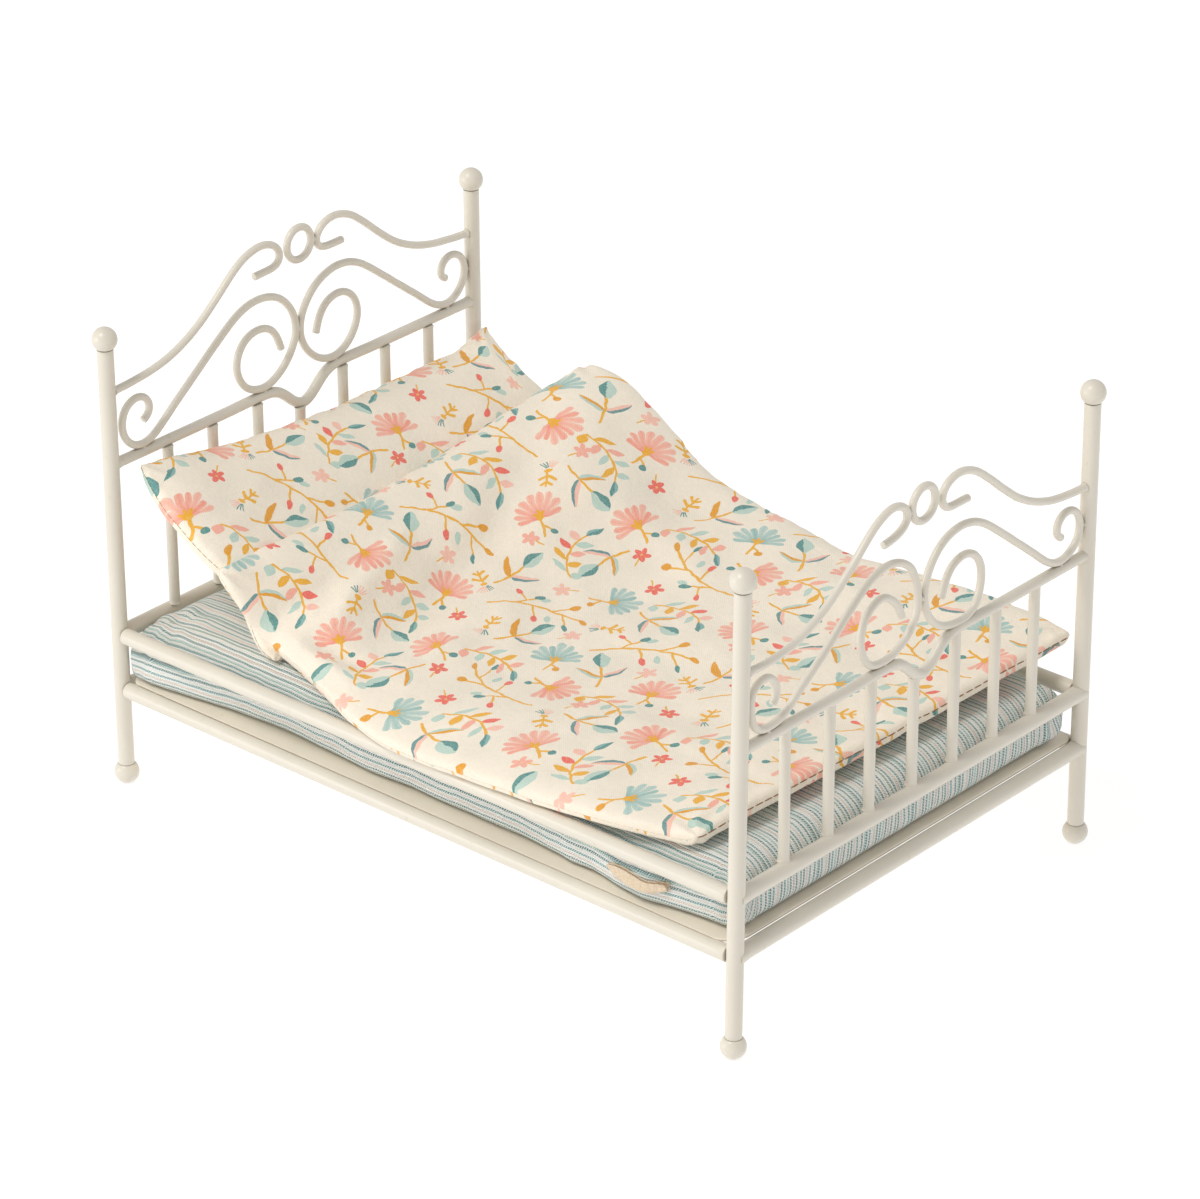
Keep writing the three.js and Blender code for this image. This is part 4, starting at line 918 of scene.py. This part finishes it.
def bag(lines, width, length, half, edge_w, seed, up=(0, 0, 1), pucker=1.0, floor=None, low_amp=0.9, mid_amp=0.3, corner=0.0, power=2.0, folds=(), lift=0.0):
    """A sewn bag. lines is {s: [(x, y, z), ...]} giving its middle surface from the first side seam (s=0) to the other (s=1),
    each line running from the t=0 seam to the t=1 seam. Returns points, faces, uvs and the seam line."""
    keys = sorted(lines)
    ds, dt = stations(width), stations(length)
    nt, ns = len(dt), len(ds)
    dense = 400
    Y = np.array([walk(resample(lines[k], 1.0), n=dense) for k in keys])
    S = spline_s(keys, Y, ds / width)
    tt = dt / length * (dense - 1)
    i0 = np.clip(tt.astype(int), 0, dense - 2)
    f = (tt - i0)[None, :, None]
    M = S[:, i0] * (1 - f) + S[:, i0 + 1] * f                      # (ns, nt, 3) middle surface
    A, B = np.meshgrid(ds, dt, indexing="ij")
    ea, eb = np.minimum(A, width - A), np.minimum(B, length - B)
    e = np.minimum(ea, eb)
    CA, CB = A, B
    if corner:
        # round the corners of the outline
        p, q = np.clip(corner - ea, 0, None), np.clip(corner - eb, 0, None)
        norm = (p ** 2.3 + q ** 2.3) ** (1 / 2.3)
        k = np.where((p > 0) & (q > 0), np.maximum(p, q) / np.maximum(norm, 1e-9), 1.0)
        a2, b2 = corner - p * k, corner - q * k
        CA = np.where(p > 0, np.where(A < width / 2, a2, width - a2), A)
        CB = np.where(q > 0, np.where(B < length / 2, b2, length - b2), B)
        fi, fj = np.interp(CA, ds, np.arange(ns)), np.interp(CB, dt, np.arange(nt))
        i, j = np.clip(fi.astype(int), 0, ns - 2), np.clip(fj.astype(int), 0, nt - 2)
        u, v = (fi - i)[:, :, None], (fj - j)[:, :, None]
        M = (M[i, j] * (1 - u) + M[i + 1, j] * u) * (1 - v) + (M[i, j + 1] * (1 - u) + M[i + 1, j + 1] * u) * v

    M[:, :, 2] += lift * np.exp(-(B / 3.6) ** 2)                    # the seam at t=0 rides above the lower edge

    def normals(M):
        du = np.gradient(M, axis=0) / np.gradient(ds)[:, None, None]
        dv = np.gradient(M, axis=1) / np.gradient(dt)[None, :, None]
        N = np.cross(du, dv)
        N /= np.linalg.norm(N, axis=2)[:, :, None]
        return (N if N[ns // 2, nt // 2] @ np.array(up) > 0 else -N), du, dv

    N, du, dv = normals(M)
    # broad softness in the whole pad
    inner = 1 - np.exp(-(e / 14.0) ** 2)
    low = noise2(A + 7, B + 3, 46.0, seed) * 0.7 + noise2(A, B, 24.0, seed + 1) * 0.3
    M = M + N * (low_amp * low * (0.35 + 0.65 * inner))[:, :, None]
    # soft folds, each from one place on the cloth to another
    fold = np.zeros_like(A)
    wav = noise2(A, B, 22.0, seed + 77) * 2.5
    for pts, w, h in folds:
        q = walk(resample([(a0 * width, b0 * length) for a0, b0 in pts], 2.0), 4.0)
        dist = np.hypot(A[:, :, None] - q[:, 0], B[:, :, None] - q[:, 1])
        k = dist.argmin(2)
        t = k / (len(q) - 1)
        d = dist.min(2) + wav * 0.5
        fold += h * np.exp(-(d / w) ** 2) * np.clip(t / 0.25 + 0.25, 0, 1) * np.clip((1 - t) / 0.25 + 0.25, 0, 1)
    fold *= 1 - np.exp(-(e / 6.0) ** 2)
    N, du, dv = normals(M)
    prof = lambda d, w: (1 - (1 - np.clip(d / w, 0, 1)) ** power) ** (1 / power)
    E = prof(ea, edge_w) * prof(eb, edge_w)
    # seam puckers: short creases that run in from the seam
    per_a = np.where(ea < eb, B, A)                                 # distance along the nearest seam
    which = np.where(ea < eb, np.where(A < width / 2, 11, 23), np.where(B < length / 2, 37, 51))
    pk = np.zeros_like(A)
    for w in (11, 23, 37, 51):
        q = noise2(per_a, np.full_like(A, w * 3.3), 5.2, seed + w) + 0.6 * noise2(per_a, np.full_like(A, w * 1.7), 2.7, seed + w + 1)
        pk = np.where(which == w, q, pk)
    reach = 6.5 + 4.0 * noise2(per_a, which * 2.1, 9.0, seed + 5)
    fall = np.exp(-np.clip(e, 0, None) / np.clip(reach, 2.0, None)) * (1 - np.exp(-e / 0.5))
    cor = np.exp(-(np.hypot(np.maximum(ea - 2, 0), np.maximum(eb - 2, 0)) / 12) ** 2)
    creases = pucker * pk * fall * (0.55 + 0.7 * cor)
    # gathers fan out of each corner
    ang = np.arctan2(np.maximum(eb, 0.01), np.maximum(ea, 0.01))
    rad = np.hypot(ea, eb)
    creases += pucker * 1.5 * np.sin(ang * 9 + seed) * np.exp(-((rad - 8) / 6.0) ** 2) * np.sin(2 * ang)
    mid = (noise2(A, B, 13.0, seed + 8) * 0.65 + noise2(A + 40, B, 7.0, seed + 9) * 0.35) * mid_amp * inner
    # outward direction at the rim, for the bulge beside the seam
    Ua, Ub = du / np.maximum(np.linalg.norm(du, axis=2), 1e-9)[:, :, None], dv / np.maximum(np.linalg.norm(dv, axis=2), 1e-9)[:, :, None]
    sa, sb = np.where(A < width / 2, -1.0, 1.0), np.where(B < length / 2, -1.0, 1.0)
    ga = np.exp(-(ea / 3.2) ** 2) * (1 - np.exp(-(ea / 0.7) ** 2)) * (1 - np.exp(-(eb / 3.0) ** 2))
    gb = np.exp(-(eb / 3.2) ** 2) * (1 - np.exp(-(eb / 0.7) ** 2)) * (1 - np.exp(-(ea / 3.0) ** 2))
    outw = Ua * (sa * ga)[:, :, None] + Ub * (sb * gb)[:, :, None]
    wav = noise2(per_a, which * 1.3, 11.0, seed + 3) * np.exp(-e / 4.0)
    top = M + N * (half[0] * E + creases * 0.6 + mid + fold + 0.35 * wav)[:, :, None] + outw * (0.72 + 0.38 * pk[:, :, None] * pucker)
    bot = M - N * (half[1] * E + creases * 0.35 - 0.35 * wav - 0.6 * fold)[:, :, None] + outw * (0.72 - 0.25 * pk[:, :, None] * pucker)
    if floor is not None:
        bot = floor(bot)
    rim = (e <= 1e-9)
    idx_t = np.arange(ns * nt).reshape(ns, nt)
    idx_b = np.where(rim, idx_t, 0)
    free = np.flatnonzero(~rim.ravel())
    tmp = idx_b.ravel()
    tmp[free] = ns * nt + np.arange(len(free))
    idx_b = tmp.reshape(ns, nt)
    V = np.vstack([top.reshape(-1, 3), bot.reshape(-1, 3)[free]])
    F, UV = [], []
    ccw = np.dot(np.cross(top[ns // 2 + 1, nt // 2] - top[ns // 2, nt // 2], top[ns // 2, nt // 2 + 1] - top[ns // 2, nt // 2]), N[ns // 2, nt // 2]) > 0
    for i in range(ns - 1):
        for j in range(nt - 1):
            q = [(i, j), (i + 1, j), (i + 1, j + 1), (i, j + 1)]
            for ids, flip, off in ((idx_t, not ccw, 0.0), (idx_b, ccw, 0.31)):
                qq = q[::-1] if flip else q
                F.append(tuple(int(ids[a]) for a in qq))
                UV += [(CA[a] * MM + off, CB[a] * MM + off) for a in qq]
    seam_n = np.vstack([N[:, 0], N[-1, 1:], N[::-1, -1][1:], N[0, ::-1][1:-1]])
    rimpts = np.vstack([top[:, 0], top[-1, 1:], top[::-1, -1][1:], top[0, ::-1][1:-1]])
    side = np.r_[np.zeros(ns), np.ones(nt - 1), np.full(ns - 1, 2), np.full(nt - 2, 3)]
    return V, F, UV, rimpts, seam_n, side


def stitches(rim, side, want, name, seed, length=1.7, gap=0.45, r=0.12, mat=None):
    """Short stitches sunk in the seam, along the sides listed in want."""
    P = np.vstack([rim, rim[:1]])
    L = np.r_[0, np.cumsum(np.linalg.norm(np.diff(P, axis=0), axis=1))]
    total, parts, at = L[-1], [], 0.0
    rs = np.random.RandomState(seed)
    while at + length < total:
        u = np.linspace(at, at + length, 5)
        k = min(int(np.searchsorted(L, at + length / 2)), len(side) - 1)
        if side[k] in want:
            q = np.stack([np.interp(u, L, P[:, i]) for i in range(3)], -1)
            parts.append(tube(q, r * np.array([0.6, 1, 1, 1, 0.6]), 6, bevel=0.05))
        at += length + gap * rs.uniform(0.7, 1.3)
    V, F = join(*parts)
    return make(name, V, F, mat or THREAD)


# ------------------------------------------------------------------ mattress
MX, MY, MLOW, MTOP = 89.8, 140.4, 42.3, 67.0
M_R, M_H = 11.5, (67.0 - 42.3) / 2
_q = np.linspace(0, np.pi / 2, 200)
_ox = M_R * np.sin(_q) ** (2 / 2.25)
_oz = M_H * (1 - np.cos(_q) ** (2 / 2.25))
_ol = np.r_[0, np.cumsum(np.hypot(np.diff(_ox), np.diff(_oz)))]
M_LEN = _ol[-1]
# the lower half is boxier: it is pressed flat by the panel
_lx = M_R * np.sin(_q) ** (2 / 4.5)
_lz = M_H * (1 - np.cos(_q) ** (2 / 4.5))
_ll = np.r_[0, np.cumsum(np.hypot(np.diff(_lx), np.diff(_lz)))]
_ll *= M_LEN / _ll[-1]


def near_tuck(y):
    """How far the lower near side is tucked in under the bulge, along the bed."""
    return np.interp(y, [-138, -132, -121, -111, -102, -90, -77, -67, -61, -43, -30, -11, 9, 27, 48, 69, 81, 98, 113, 127, 134, 140],
                     [0.2, 0.3, -0.8, -2.4, -4.3, -3.2, -0.7, -1.2, -0.1, 1.0, 0.6, 0.5, 1.1, -0.3, 1.0, 2.4, 1.7, 0.1, -2.4, -4.0, -4.8, -5.6])


def mattress():
    U, Vv = MX - M_R + M_LEN, MY - M_R + M_LEN
    edge = np.linspace(0, M_LEN, 17)

    def axis(inner, step):
        n = int(round(2 * inner / step))
        return np.r_[(-inner - edge)[::-1][:-1], np.linspace(-inner, inner, n + 1), (inner + edge)[1:]]
    us, vs = axis(MX - M_R, 2.6), axis(MY - M_R, 2.8)
    A, B = np.meshgrid(us, vs, indexing="ij")
    ou, ov = np.maximum(np.abs(A) - (MX - M_R), 0), np.maximum(np.abs(B) - (MY - M_R), 0)
    r = np.maximum(ou, ov)
    h = np.maximum((ou ** 9.0 + ov ** 9.0) ** (1 / 9.0), 1e-9)
    su, sv = np.sign(A), np.sign(B)
    flat = r <= 0
    grids = []
    for half in (1, -1):
        out, down = (np.interp(r, _ol, _ox), np.interp(r, _ol, _oz)) if half > 0 else (np.interp(r, _ll, _lx), np.interp(r, _ll, _lz))
        X = np.where(flat, A, su * (np.minimum(np.abs(A), MX - M_R) + ou / h * out))
        Y = np.where(flat, B, sv * (np.minimum(np.abs(B), MY - M_R) + ov / h * out))
        Z0 = (MLOW + MTOP) / 2 + half * (M_H - down)
        x, y, z = X.copy(), Y.copy(), Z0.copy()
        rim = np.clip(r / M_LEN, 0, 1)
        ux, uy = np.where(flat, 0, su * ou / h), np.where(flat, 0, sv * ov / h)
        # shallow dents and a slightly crowned top
        if half > 0:
            crown = 0.8 * (1 - (A / MX) ** 4) * (1 - (B / MY) ** 6)
            z += (crown + 0.55 * noise2(A, B, 38.0, 71) + 0.28 * noise2(A, B, 15.0, 72)) * (1 - rim ** 2) - 0.9 * (1 - rim)
            # the head left corner is gathered into a small pucker
            d = np.hypot(A + 80.5, B - 128.5)
            z -= 2.0 * np.exp(-(d / 5.0) ** 2)
            ang = np.arctan2(B - 128.5, A + 80.5)
            z += 0.55 * np.sin(ang * 5 + 0.6) * np.exp(-((d - 8) / 6.0) ** 2)
        # sides: bulging and pulled in along their length, gathers at the corners
        push = 0.7 * noise2(A * 0 + np.where(ou > ov, B, A), np.where(ou > ov, 13.0, 57.0) + su * 5 + sv * 9, 21.0, 73) + 0.35 * noise2(np.where(ou > ov, B, A), half * 4.0 + 31 * rim, 8.5, 74)
        ca = np.degrees(np.arctan2(ov, np.maximum(ou, 1e-9)))
        corner = (ou > 0) & (ov > 0)
        gather = np.where(corner, 0.75 * np.sin(np.radians(ca) * 10 + half) * np.sin(np.radians(ca) * 2) ** 0.5, 0)
        near = (su < 0) & (ou > 0)
        tuck = np.where(near, near_tuck(B) * (0.9 * rim ** 4 if half > 0 else 1.0), 0)
        amp = rim * (1.0 if half > 0 else 0.9)
        x += ux * ((push + gather) * amp - tuck)
        y += uy * (push + gather) * amp + np.where(corner, sv * 1.3 * rim, 0)
        # it can swell between the rails, and is held in by them
        free = np.clip((57.3 - z) / 3.0, 0, 1)
        x = np.clip(x, -91.8 - 2.6 * free * np.clip((142.0 - np.abs(y)) / 2.0, 0, 1), 91.8)
        y = np.clip(y, -141.15, 141.15)
        if half < 0:
            z = np.maximum(z, MLOW + 0.02)
            # the underside lifts where the near side is tucked in
            z += np.where(near, 0.10 * np.maximum(near_tuck(B), 0) * rim, 0)
        else:
            z = z - np.where(corner, 1.0 * rim * (1 - rim), 0)
        grids.append(np.stack([x, y, z], -1))
    # both halves share the ring round the middle
    ringmask = (r >= M_LEN - 1e-6)
    mid = (grids[0] + grids[1]) / 2
    for gq in grids:
        gq[ringmask] = mid[ringmask]
    nu, nv = len(us), len(vs)
    it = np.arange(nu * nv).reshape(nu, nv)
    free = np.flatnonzero(~ringmask.ravel())
    tmp = it.ravel().copy()
    tmp[free] = nu * nv + np.arange(len(free))
    ib = tmp.reshape(nu, nv)
    V = np.vstack([grids[0].reshape(-1, 3), grids[1].reshape(-1, 3)[free]])
    F, UV = [], []
    for i in range(nu - 1):
        for j in range(nv - 1):
            q = [(i, j), (i + 1, j), (i + 1, j + 1), (i, j + 1)]
            cu = (us[i] + us[i + 1]) / 2
            cv = (vs[j] + vs[j + 1]) / 2
            F.append(tuple(int(it[a]) for a in q))
            UV += [(us[a[0]] * MM + 0.2, vs[a[1]] * MM + 0.2) for a in q]
            F.append(tuple(int(ib[a]) for a in q[::-1]))
            side_u = abs(cu) - (MX - M_R) >= abs(cv) - (MY - M_R)
            for a in q[::-1]:
                u, v = us[a[0]], vs[a[1]]
                if side_u:
                    u = math.copysign(2 * U - abs(u), cu)
                else:
                    v = math.copysign(2 * Vv - abs(v), cv)
                UV.append((u * MM + 0.2, v * MM + 0.2))
    return V, F, UV


V, F, UV = mattress()
mattress_ob = make("mattress_shown", V, F, STRIPE, True, UV)
stand_for(mattress_ob, "mattress", "mattress")


# ------------------------------------------------------------------ tag: a plain folded ribbon, blank
M_PTS = np.array(V)
M_NEAR = M_PTS[(M_PTS[:, 0] < -84) & (M_PTS[:, 2] < 60) & (np.abs(M_PTS[:, 1] + 98) < 24)]


def side_x(y, z):
    """How far out the mattress side stands near a point."""
    d = np.hypot(M_NEAR[:, 1] - y, M_NEAR[:, 2] - z)
    return float(M_NEAR[d < 3.2, 0].min()) if (d < 3.2).any() else float(M_NEAR[d.argmin(), 0])


def tag():
    n = 44
    ty = [-85.0, -89, -94, -98.5, -102, -105.5, -108.5, -111.3]
    top = [52.2, 53.4, 53.6, 52.9, 52.2, 52.7, 53.6, 53.9]
    low = [51.2, 49.6, 48.6, 48.2, 48.4, 49.2, 50.4, 51.6]
    cols = []
    for i in range(n + 1):
        k = i / n
        y = -85.0 - 26.3 * k
        shift = -2.6
        zt, zl = np.interp(-y, [-a for a in ty], top), np.interp(-y, [-a for a in ty], low)
        open_ = 0.55 + 0.5 * math.sin(k * math.pi) + 0.9 * k ** 3
        twist = 0.9 * k ** 3 + 0.35 * math.sin(k * 8.0)
        y += shift
        base = min(side_x(y, zt), side_x(y, zl), side_x(y, (zt + zl) / 2)) - 0.30
        pts = [(base, zt + 0.5), (base - 0.02, zt - 0.6), (base - 0.05, (zt + 2 * zl) / 3 + 0.3), (base - 0.12, zl + 0.35), (base - 0.12 - open_ * 0.35, zl - 0.05),
               (base - 0.12 - open_ * 0.85, zl + 0.1), (base - 0.15 - open_, zl + 0.8), (base - 0.2 - open_ * 0.95, (zt + 2 * zl) / 3 + 0.5), (base - 0.2 - open_ * 0.8 - 0.3 * twist, zt - 0.9),
               (base - 0.25 - open_ * 0.65 - twist, zt + 0.15)]
        cols.append(walk(resample([(x, y + 0.12 * math.sin(z * 1.3), z) for x, z in pts], 0.3), n=28))
    C = np.array(cols)
    du, dv = np.gradient(C, axis=0), np.gradient(C, axis=1)
    N = np.cross(du, dv)
    N /= np.linalg.norm(N, axis=2)[:, :, None]
    rs = 0.10 * noise2(np.arange(n + 1)[:, None] * np.ones(28), np.arange(28)[None, :] * np.ones((n + 1, 1)), 4.0, 5)
    C = C + N * rs[:, :, None]
    a, b = C + N * 0.11, C - N * 0.11
    m, k = C.shape[:2]
    V = np.vstack([a.reshape(-1, 3), b.reshape(-1, 3)])
    F = []
    I = np.arange(m * k).reshape(m, k)
    J = I + m * k
    for i in range(m - 1):
        for j in range(k - 1):
            F.append((I[i, j], I[i + 1, j], I[i + 1, j + 1], I[i, j + 1]))
            F.append((J[i, j], J[i, j + 1], J[i + 1, j + 1], J[i + 1, j]))
    for i in range(m - 1):
        F.append((I[i, 0], J[i, 0], J[i + 1, 0], I[i + 1, 0]))
        F.append((I[i, -1], I[i + 1, -1], J[i + 1, -1], J[i, -1]))
    for j in range(k - 1):
        F.append((I[0, j], I[0, j + 1], J[0, j + 1], J[0, j]))
        F.append((I[-1, j], J[-1, j], J[-1, j + 1], I[-1, j + 1]))
    return V, F


V, F = tag()
tag_ob = make("mattress_tag_shown", V, F, TAGCLOTH, True)
stand_for(tag_ob, "mattress_tag", "mattress")

# ------------------------------------------------------------------ pillow
PILLOW_LINES = {
    0.0: [(-84.6, 76.0, 68.6), (-85.2, 82, 71.6), (-84.2, 88, 79), (-83.4, 92.5, 86.5), (-84.8, 98.5, 95.3), (-87, 105, 100.8), (-88, 111.6, 105.2), (-88, 118, 109.4), (-88, 124.6, 113.6), (-87.6, 131, 119.0), (-87, 138.3, 126.8)],
    0.08: [(-66, 75, 68.5), (-70, 86, 79), (-72.5, 98, 91.5), (-73, 111, 102), (-73, 121, 109.2), (-73, 130, 116.2), (-73, 138.5, 124.2)],
    0.25: [(-38, 73.5, 69.5), (-40, 85, 78.8), (-41, 98, 90), (-41, 110, 99), (-41, 120, 106), (-41, 130, 112.4), (-41, 138.3, 118.0)],
    0.5: [(4, 73, 70), (5, 84, 78.5), (5, 98, 89.5), (5, 110, 98), (5, 120, 104.3), (5, 130, 109.8), (5, 138.3, 113.4)],
    0.75: [(44, 73, 71), (48, 84, 80), (50, 98, 91), (51, 110, 99), (52, 120, 104.5), (52, 130, 109.3), (52, 138.3, 112.6)],
    0.92: [(74, 73, 72), (79, 85, 83), (81, 98, 94), (82, 110, 101.5), (83, 120, 106.2), (83, 130, 110.3), (83, 138.5, 113.4)],
    1.0: [(86, 74, 73), (88.5, 87, 87), (89.5, 98, 98.5), (90, 106, 103.3), (90.3, 116, 107.5), (91, 126, 112.2), (92.8, 133, 115.4), (96.6, 139.2, 117.8)],
}
V, F, UV, rim, rim_n, side = bag(PILLOW_LINES, 184.0, 88.0, (7.6, 7.0), 17.0, 301, pucker=0.9, low_amp=0.9, mid_amp=0.45, corner=1.5, power=2.1,
                             folds=[([(0.03, 0.12), (0.10, 0.30), (0.16, 0.50)], 6.0, -0.8), ([(0.02, 0.55), (0.12, 0.62), (0.24, 0.80)], 5.0, 0.8), ([(0.5, 0.35), (0.62, 0.6)], 8.0, -0.5)])
pillow_ob = make("pillow_shown", V, F, PRINT, True, [(a + 0.043, b + 0.307) for a, b in UV])
stand_for(pillow_ob, "pillow", "pillow")
st = stitches(rim, side, (0, 1, 2, 3), "pillow_stitches", 5, 2.4, 0.35, 0.10)
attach(st, "pillow")

# ------------------------------------------------------------------ duvet
DUVET_LINES = {
    0.0: [(-86.5, -121.5, 69.8), (-92.6, -91.5, 68.6), (-97, -56, 67.4), (-99, -24, 66.4), (-100, 7, 66.0), (-97.5, 25, 67.3), (-92.8, 40, 68.2), (-86.6, 58, 69.0), (-84.2, 71, 71.4), (-82.6, 82, 73.4),
          (-84.4, 87.5, 78.6), (-86.5, 91.2, 86), (-89, 94.5, 94), (-90, 98, 100)],
    0.1: [(-68, -124, 71.8), (-74, -91, 71.6), (-78.5, -56, 71.2), (-80, -24, 70.8), (-80.5, 7, 70.6), (-78.5, 25, 71.0), (-75, 40, 72), (-71.5, 55, 74), (-69.5, 66, 77.8), (-69, 75, 83), (-69.5, 83, 89.3), (-70.5, 90, 95.3), (-72, 97.5, 99.4)],
    0.3: [(-31, -127, 72.6), (-36, -90, 72.4), (-40, -50, 71.8), (-41, 0, 71.8), (-39, 25, 72.6), (-37, 42, 75), (-35, 55, 79), (-34, 66, 84.5), (-34, 76, 90.3), (-34, 86, 95.2), (-34.5, 92, 97.3), (-35, 97.8, 97.6)],
    0.5: [(6, -129, 73.2), (2, -90, 72.8), (0, -50, 72.2), (-1, 0, 72.6), (0, 20, 74), (1, 38, 78), (2, 52, 83.4), (2.5, 64, 89.3), (3, 75, 94.6), (3, 86, 98), (3, 97.8, 98.6)],
    0.7: [(44, -131, 74), (42, -90, 74), (40, -50, 73), (39, -10, 73.6), (39, 10, 76), (39.5, 28, 81), (40, 42, 87), (40.5, 54, 93.4), (41, 66, 99.2), (41, 78, 102.6), (41, 88, 103.2), (41, 97.3, 101.8)],
    0.88: [(78, -133.5, 75.4), (77, -100, 77.3), (76, -60, 76.4), (75.5, -38, 75.6), (75.5, -15, 78), (75.5, 7, 80.5), (75.5, 23, 84), (75.5, 36, 90), (75.5, 48, 97.6), (75.5, 60, 104.6), (75.5, 72, 110), (75, 84, 110.6), (73.5, 95, 107.8)],
    1.0: [(100.5, -136, 76.4), (100.2, -126, 79), (99.8, -113, 79.8), (99.3, -98, 80.2), (98.9, -75, 79), (98.5, -50, 77.2), (98.5, -38, 76.6), (98.5, -26, 78.2), (98.5, -9, 81.2), (98.5, 7, 82.7), (98.5, 23, 86),
          (98.5, 33, 89.4), (98.5, 43, 96), (98.5, 53, 103), (98.5, 63, 108.6), (98.5, 73, 114.2), (98.3, 82, 116.0), (97.2, 90, 114.2)],
}


def duvet_floor(P):
    x, y, z = P[..., 0], P[..., 1], P[..., 2]
    on = (np.abs(x) < 89) & (np.abs(y) < 138)
    low = np.where(on, 67.3, np.where(np.abs(x) < 99, 64.1, 60.5))
    P = P.copy()
    P[..., 2] = np.maximum(z, low)
    return P


DUVET_FOLDS = [
    ([(0.84, 0.92), (0.67, 0.87), (0.53, 0.82), (0.36, 0.785), (0.21, 0.76), (0.10, 0.755)], 9.5, -3.3),
    ([(0.40, 0.90), (0.33, 0.885), (0.26, 0.87), (0.17, 0.85), (0.11, 0.82)], 5.0, 2.7),
    ([(0.035, 0.90), (0.11, 0.895), (0.20, 0.90)], 4.5, -1.9),
    ([(0.035, 0.85), (0.04, 0.77), (0.045, 0.66)], 4.5, 1.7),
    ([(0.04, 0.82), (0.075, 0.775), (0.10, 0.70)], 3.6, -1.4),
    ([(0.70, 0.86), (0.74, 0.80), (0.78, 0.70), (0.77, 0.58), (0.71, 0.46)], 9.0, 2.0),
    ([(0.90, 0.86), (0.88, 0.72), (0.90, 0.60)], 9.0, -1.7),
    ([(0.20, 0.68), (0.35, 0.66), (0.50, 0.69)], 8.0, 1.5),
    ([(0.46, 0.52), (0.55, 0.39), (0.58, 0.28)], 10.0, 0.9),
    ([(0.25, 0.45), (0.34, 0.33), (0.36, 0.22)], 9.0, -0.8),
    ([(0.05, 0.30), (0.14, 0.24), (0.22, 0.16)], 7.0, -0.8),
    ([(0.80, 0.30), (0.72, 0.20), (0.66, 0.10)], 8.0, -0.9),
    ([(0.90, 0.45), (0.86, 0.34), (0.88, 0.22)], 7.0, 0.9),
    ([(0.45, 0.12), (0.50, 0.05), (0.53, 0.02)], 5.0, -0.9),
    ([(0.22, 0.10), (0.20, 0.04), (0.19, 0.02)], 4.5, -0.9),
    ([(0.78, 0.10), (0.80, 0.04), (0.81, 0.02)], 4.5, -0.8),
]
DUVET_FOLDS = [(p, w, 1.22 * h) for p, w, h in DUVET_FOLDS]
V, F, UV, rim, rim_n, side = bag(DUVET_LINES, 195.0, 238.0, (4.2, 3.7), 9.0, 907, pucker=1.0, floor=duvet_floor, low_amp=1.1, mid_amp=0.72, corner=3.2, power=2.5, folds=DUVET_FOLDS, lift=1.9)
duvet_ob = make("duvet_shown", V, F, PRINT, True, UV)
stand_for(duvet_ob, "duvet", "duvet")
st = stitches(rim, side, (1, 2, 3), "duvet_stitches", 6, 2.4, 0.35, 0.09, THREAD_PALE)
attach(st, "duvet")
st = stitches(rim, side, (0,), "duvet_foot_stitches", 9, 3.6, 0.8, 0.24)
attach(st, "duvet")

# ------------------------------------------------------------------ floor, light
me = bpy.data.meshes.new("floor")
me.from_pydata([(-6, -6, 0), (6, -6, 0), (6, 6, 0), (-6, 6, 0)], [], [(0, 1, 2, 3)])
floor_ob = bpy.data.objects.new("floor", me)
scene.collection.objects.link(floor_ob)
g = Graph("floor_white")
fl = g.noise(g.object_coords(), 3.0, 2.0)
me.materials.append(g.out(Base_Color=g.mix(fl, (0.38, 0.38, 0.38, 1), (0.40, 0.40, 0.40, 1)), Roughness=0.9, Specular_IOR_Level=0.1,
                          Emission_Color=(1, 1, 1, 1), Emission_Strength=0.76))

world = bpy.data.worlds.new("studio")
scene.world = world
world.use_nodes = True
bg = world.node_tree.nodes["Background"]
bg.inputs[0].default_value = (1.0, 0.995, 0.985, 1)
bg.inputs[1].default_value = 0.60


def area(name, at, look, size, power, color=(1, 1, 1)):
    d = bpy.data.lights.new(name, "AREA")
    d.shape, d.size, d.energy, d.color = "DISK", size, power, color
    o = bpy.data.objects.new(name, d)
    scene.collection.objects.link(o)
    o.location = at
    o.rotation_euler = (Vector(look) - Vector(at)).to_track_quat("-Z", "Y").to_euler()
    return o


area("key", (-2.1, 0.45, 3.3), (0, 0, 0.08), 1.1, 56, (1.0, 0.985, 0.955))
area("side", (-1.9, 1.3, 0.32), (0, 0, 0.05), 0.9, 11, (1.0, 0.98, 0.95))
scene.view_settings.view_transform = "Standard"
scene.view_settings.look = "None"
scene.view_settings.exposure = 0.0
scene.view_settings.gamma = 1.0
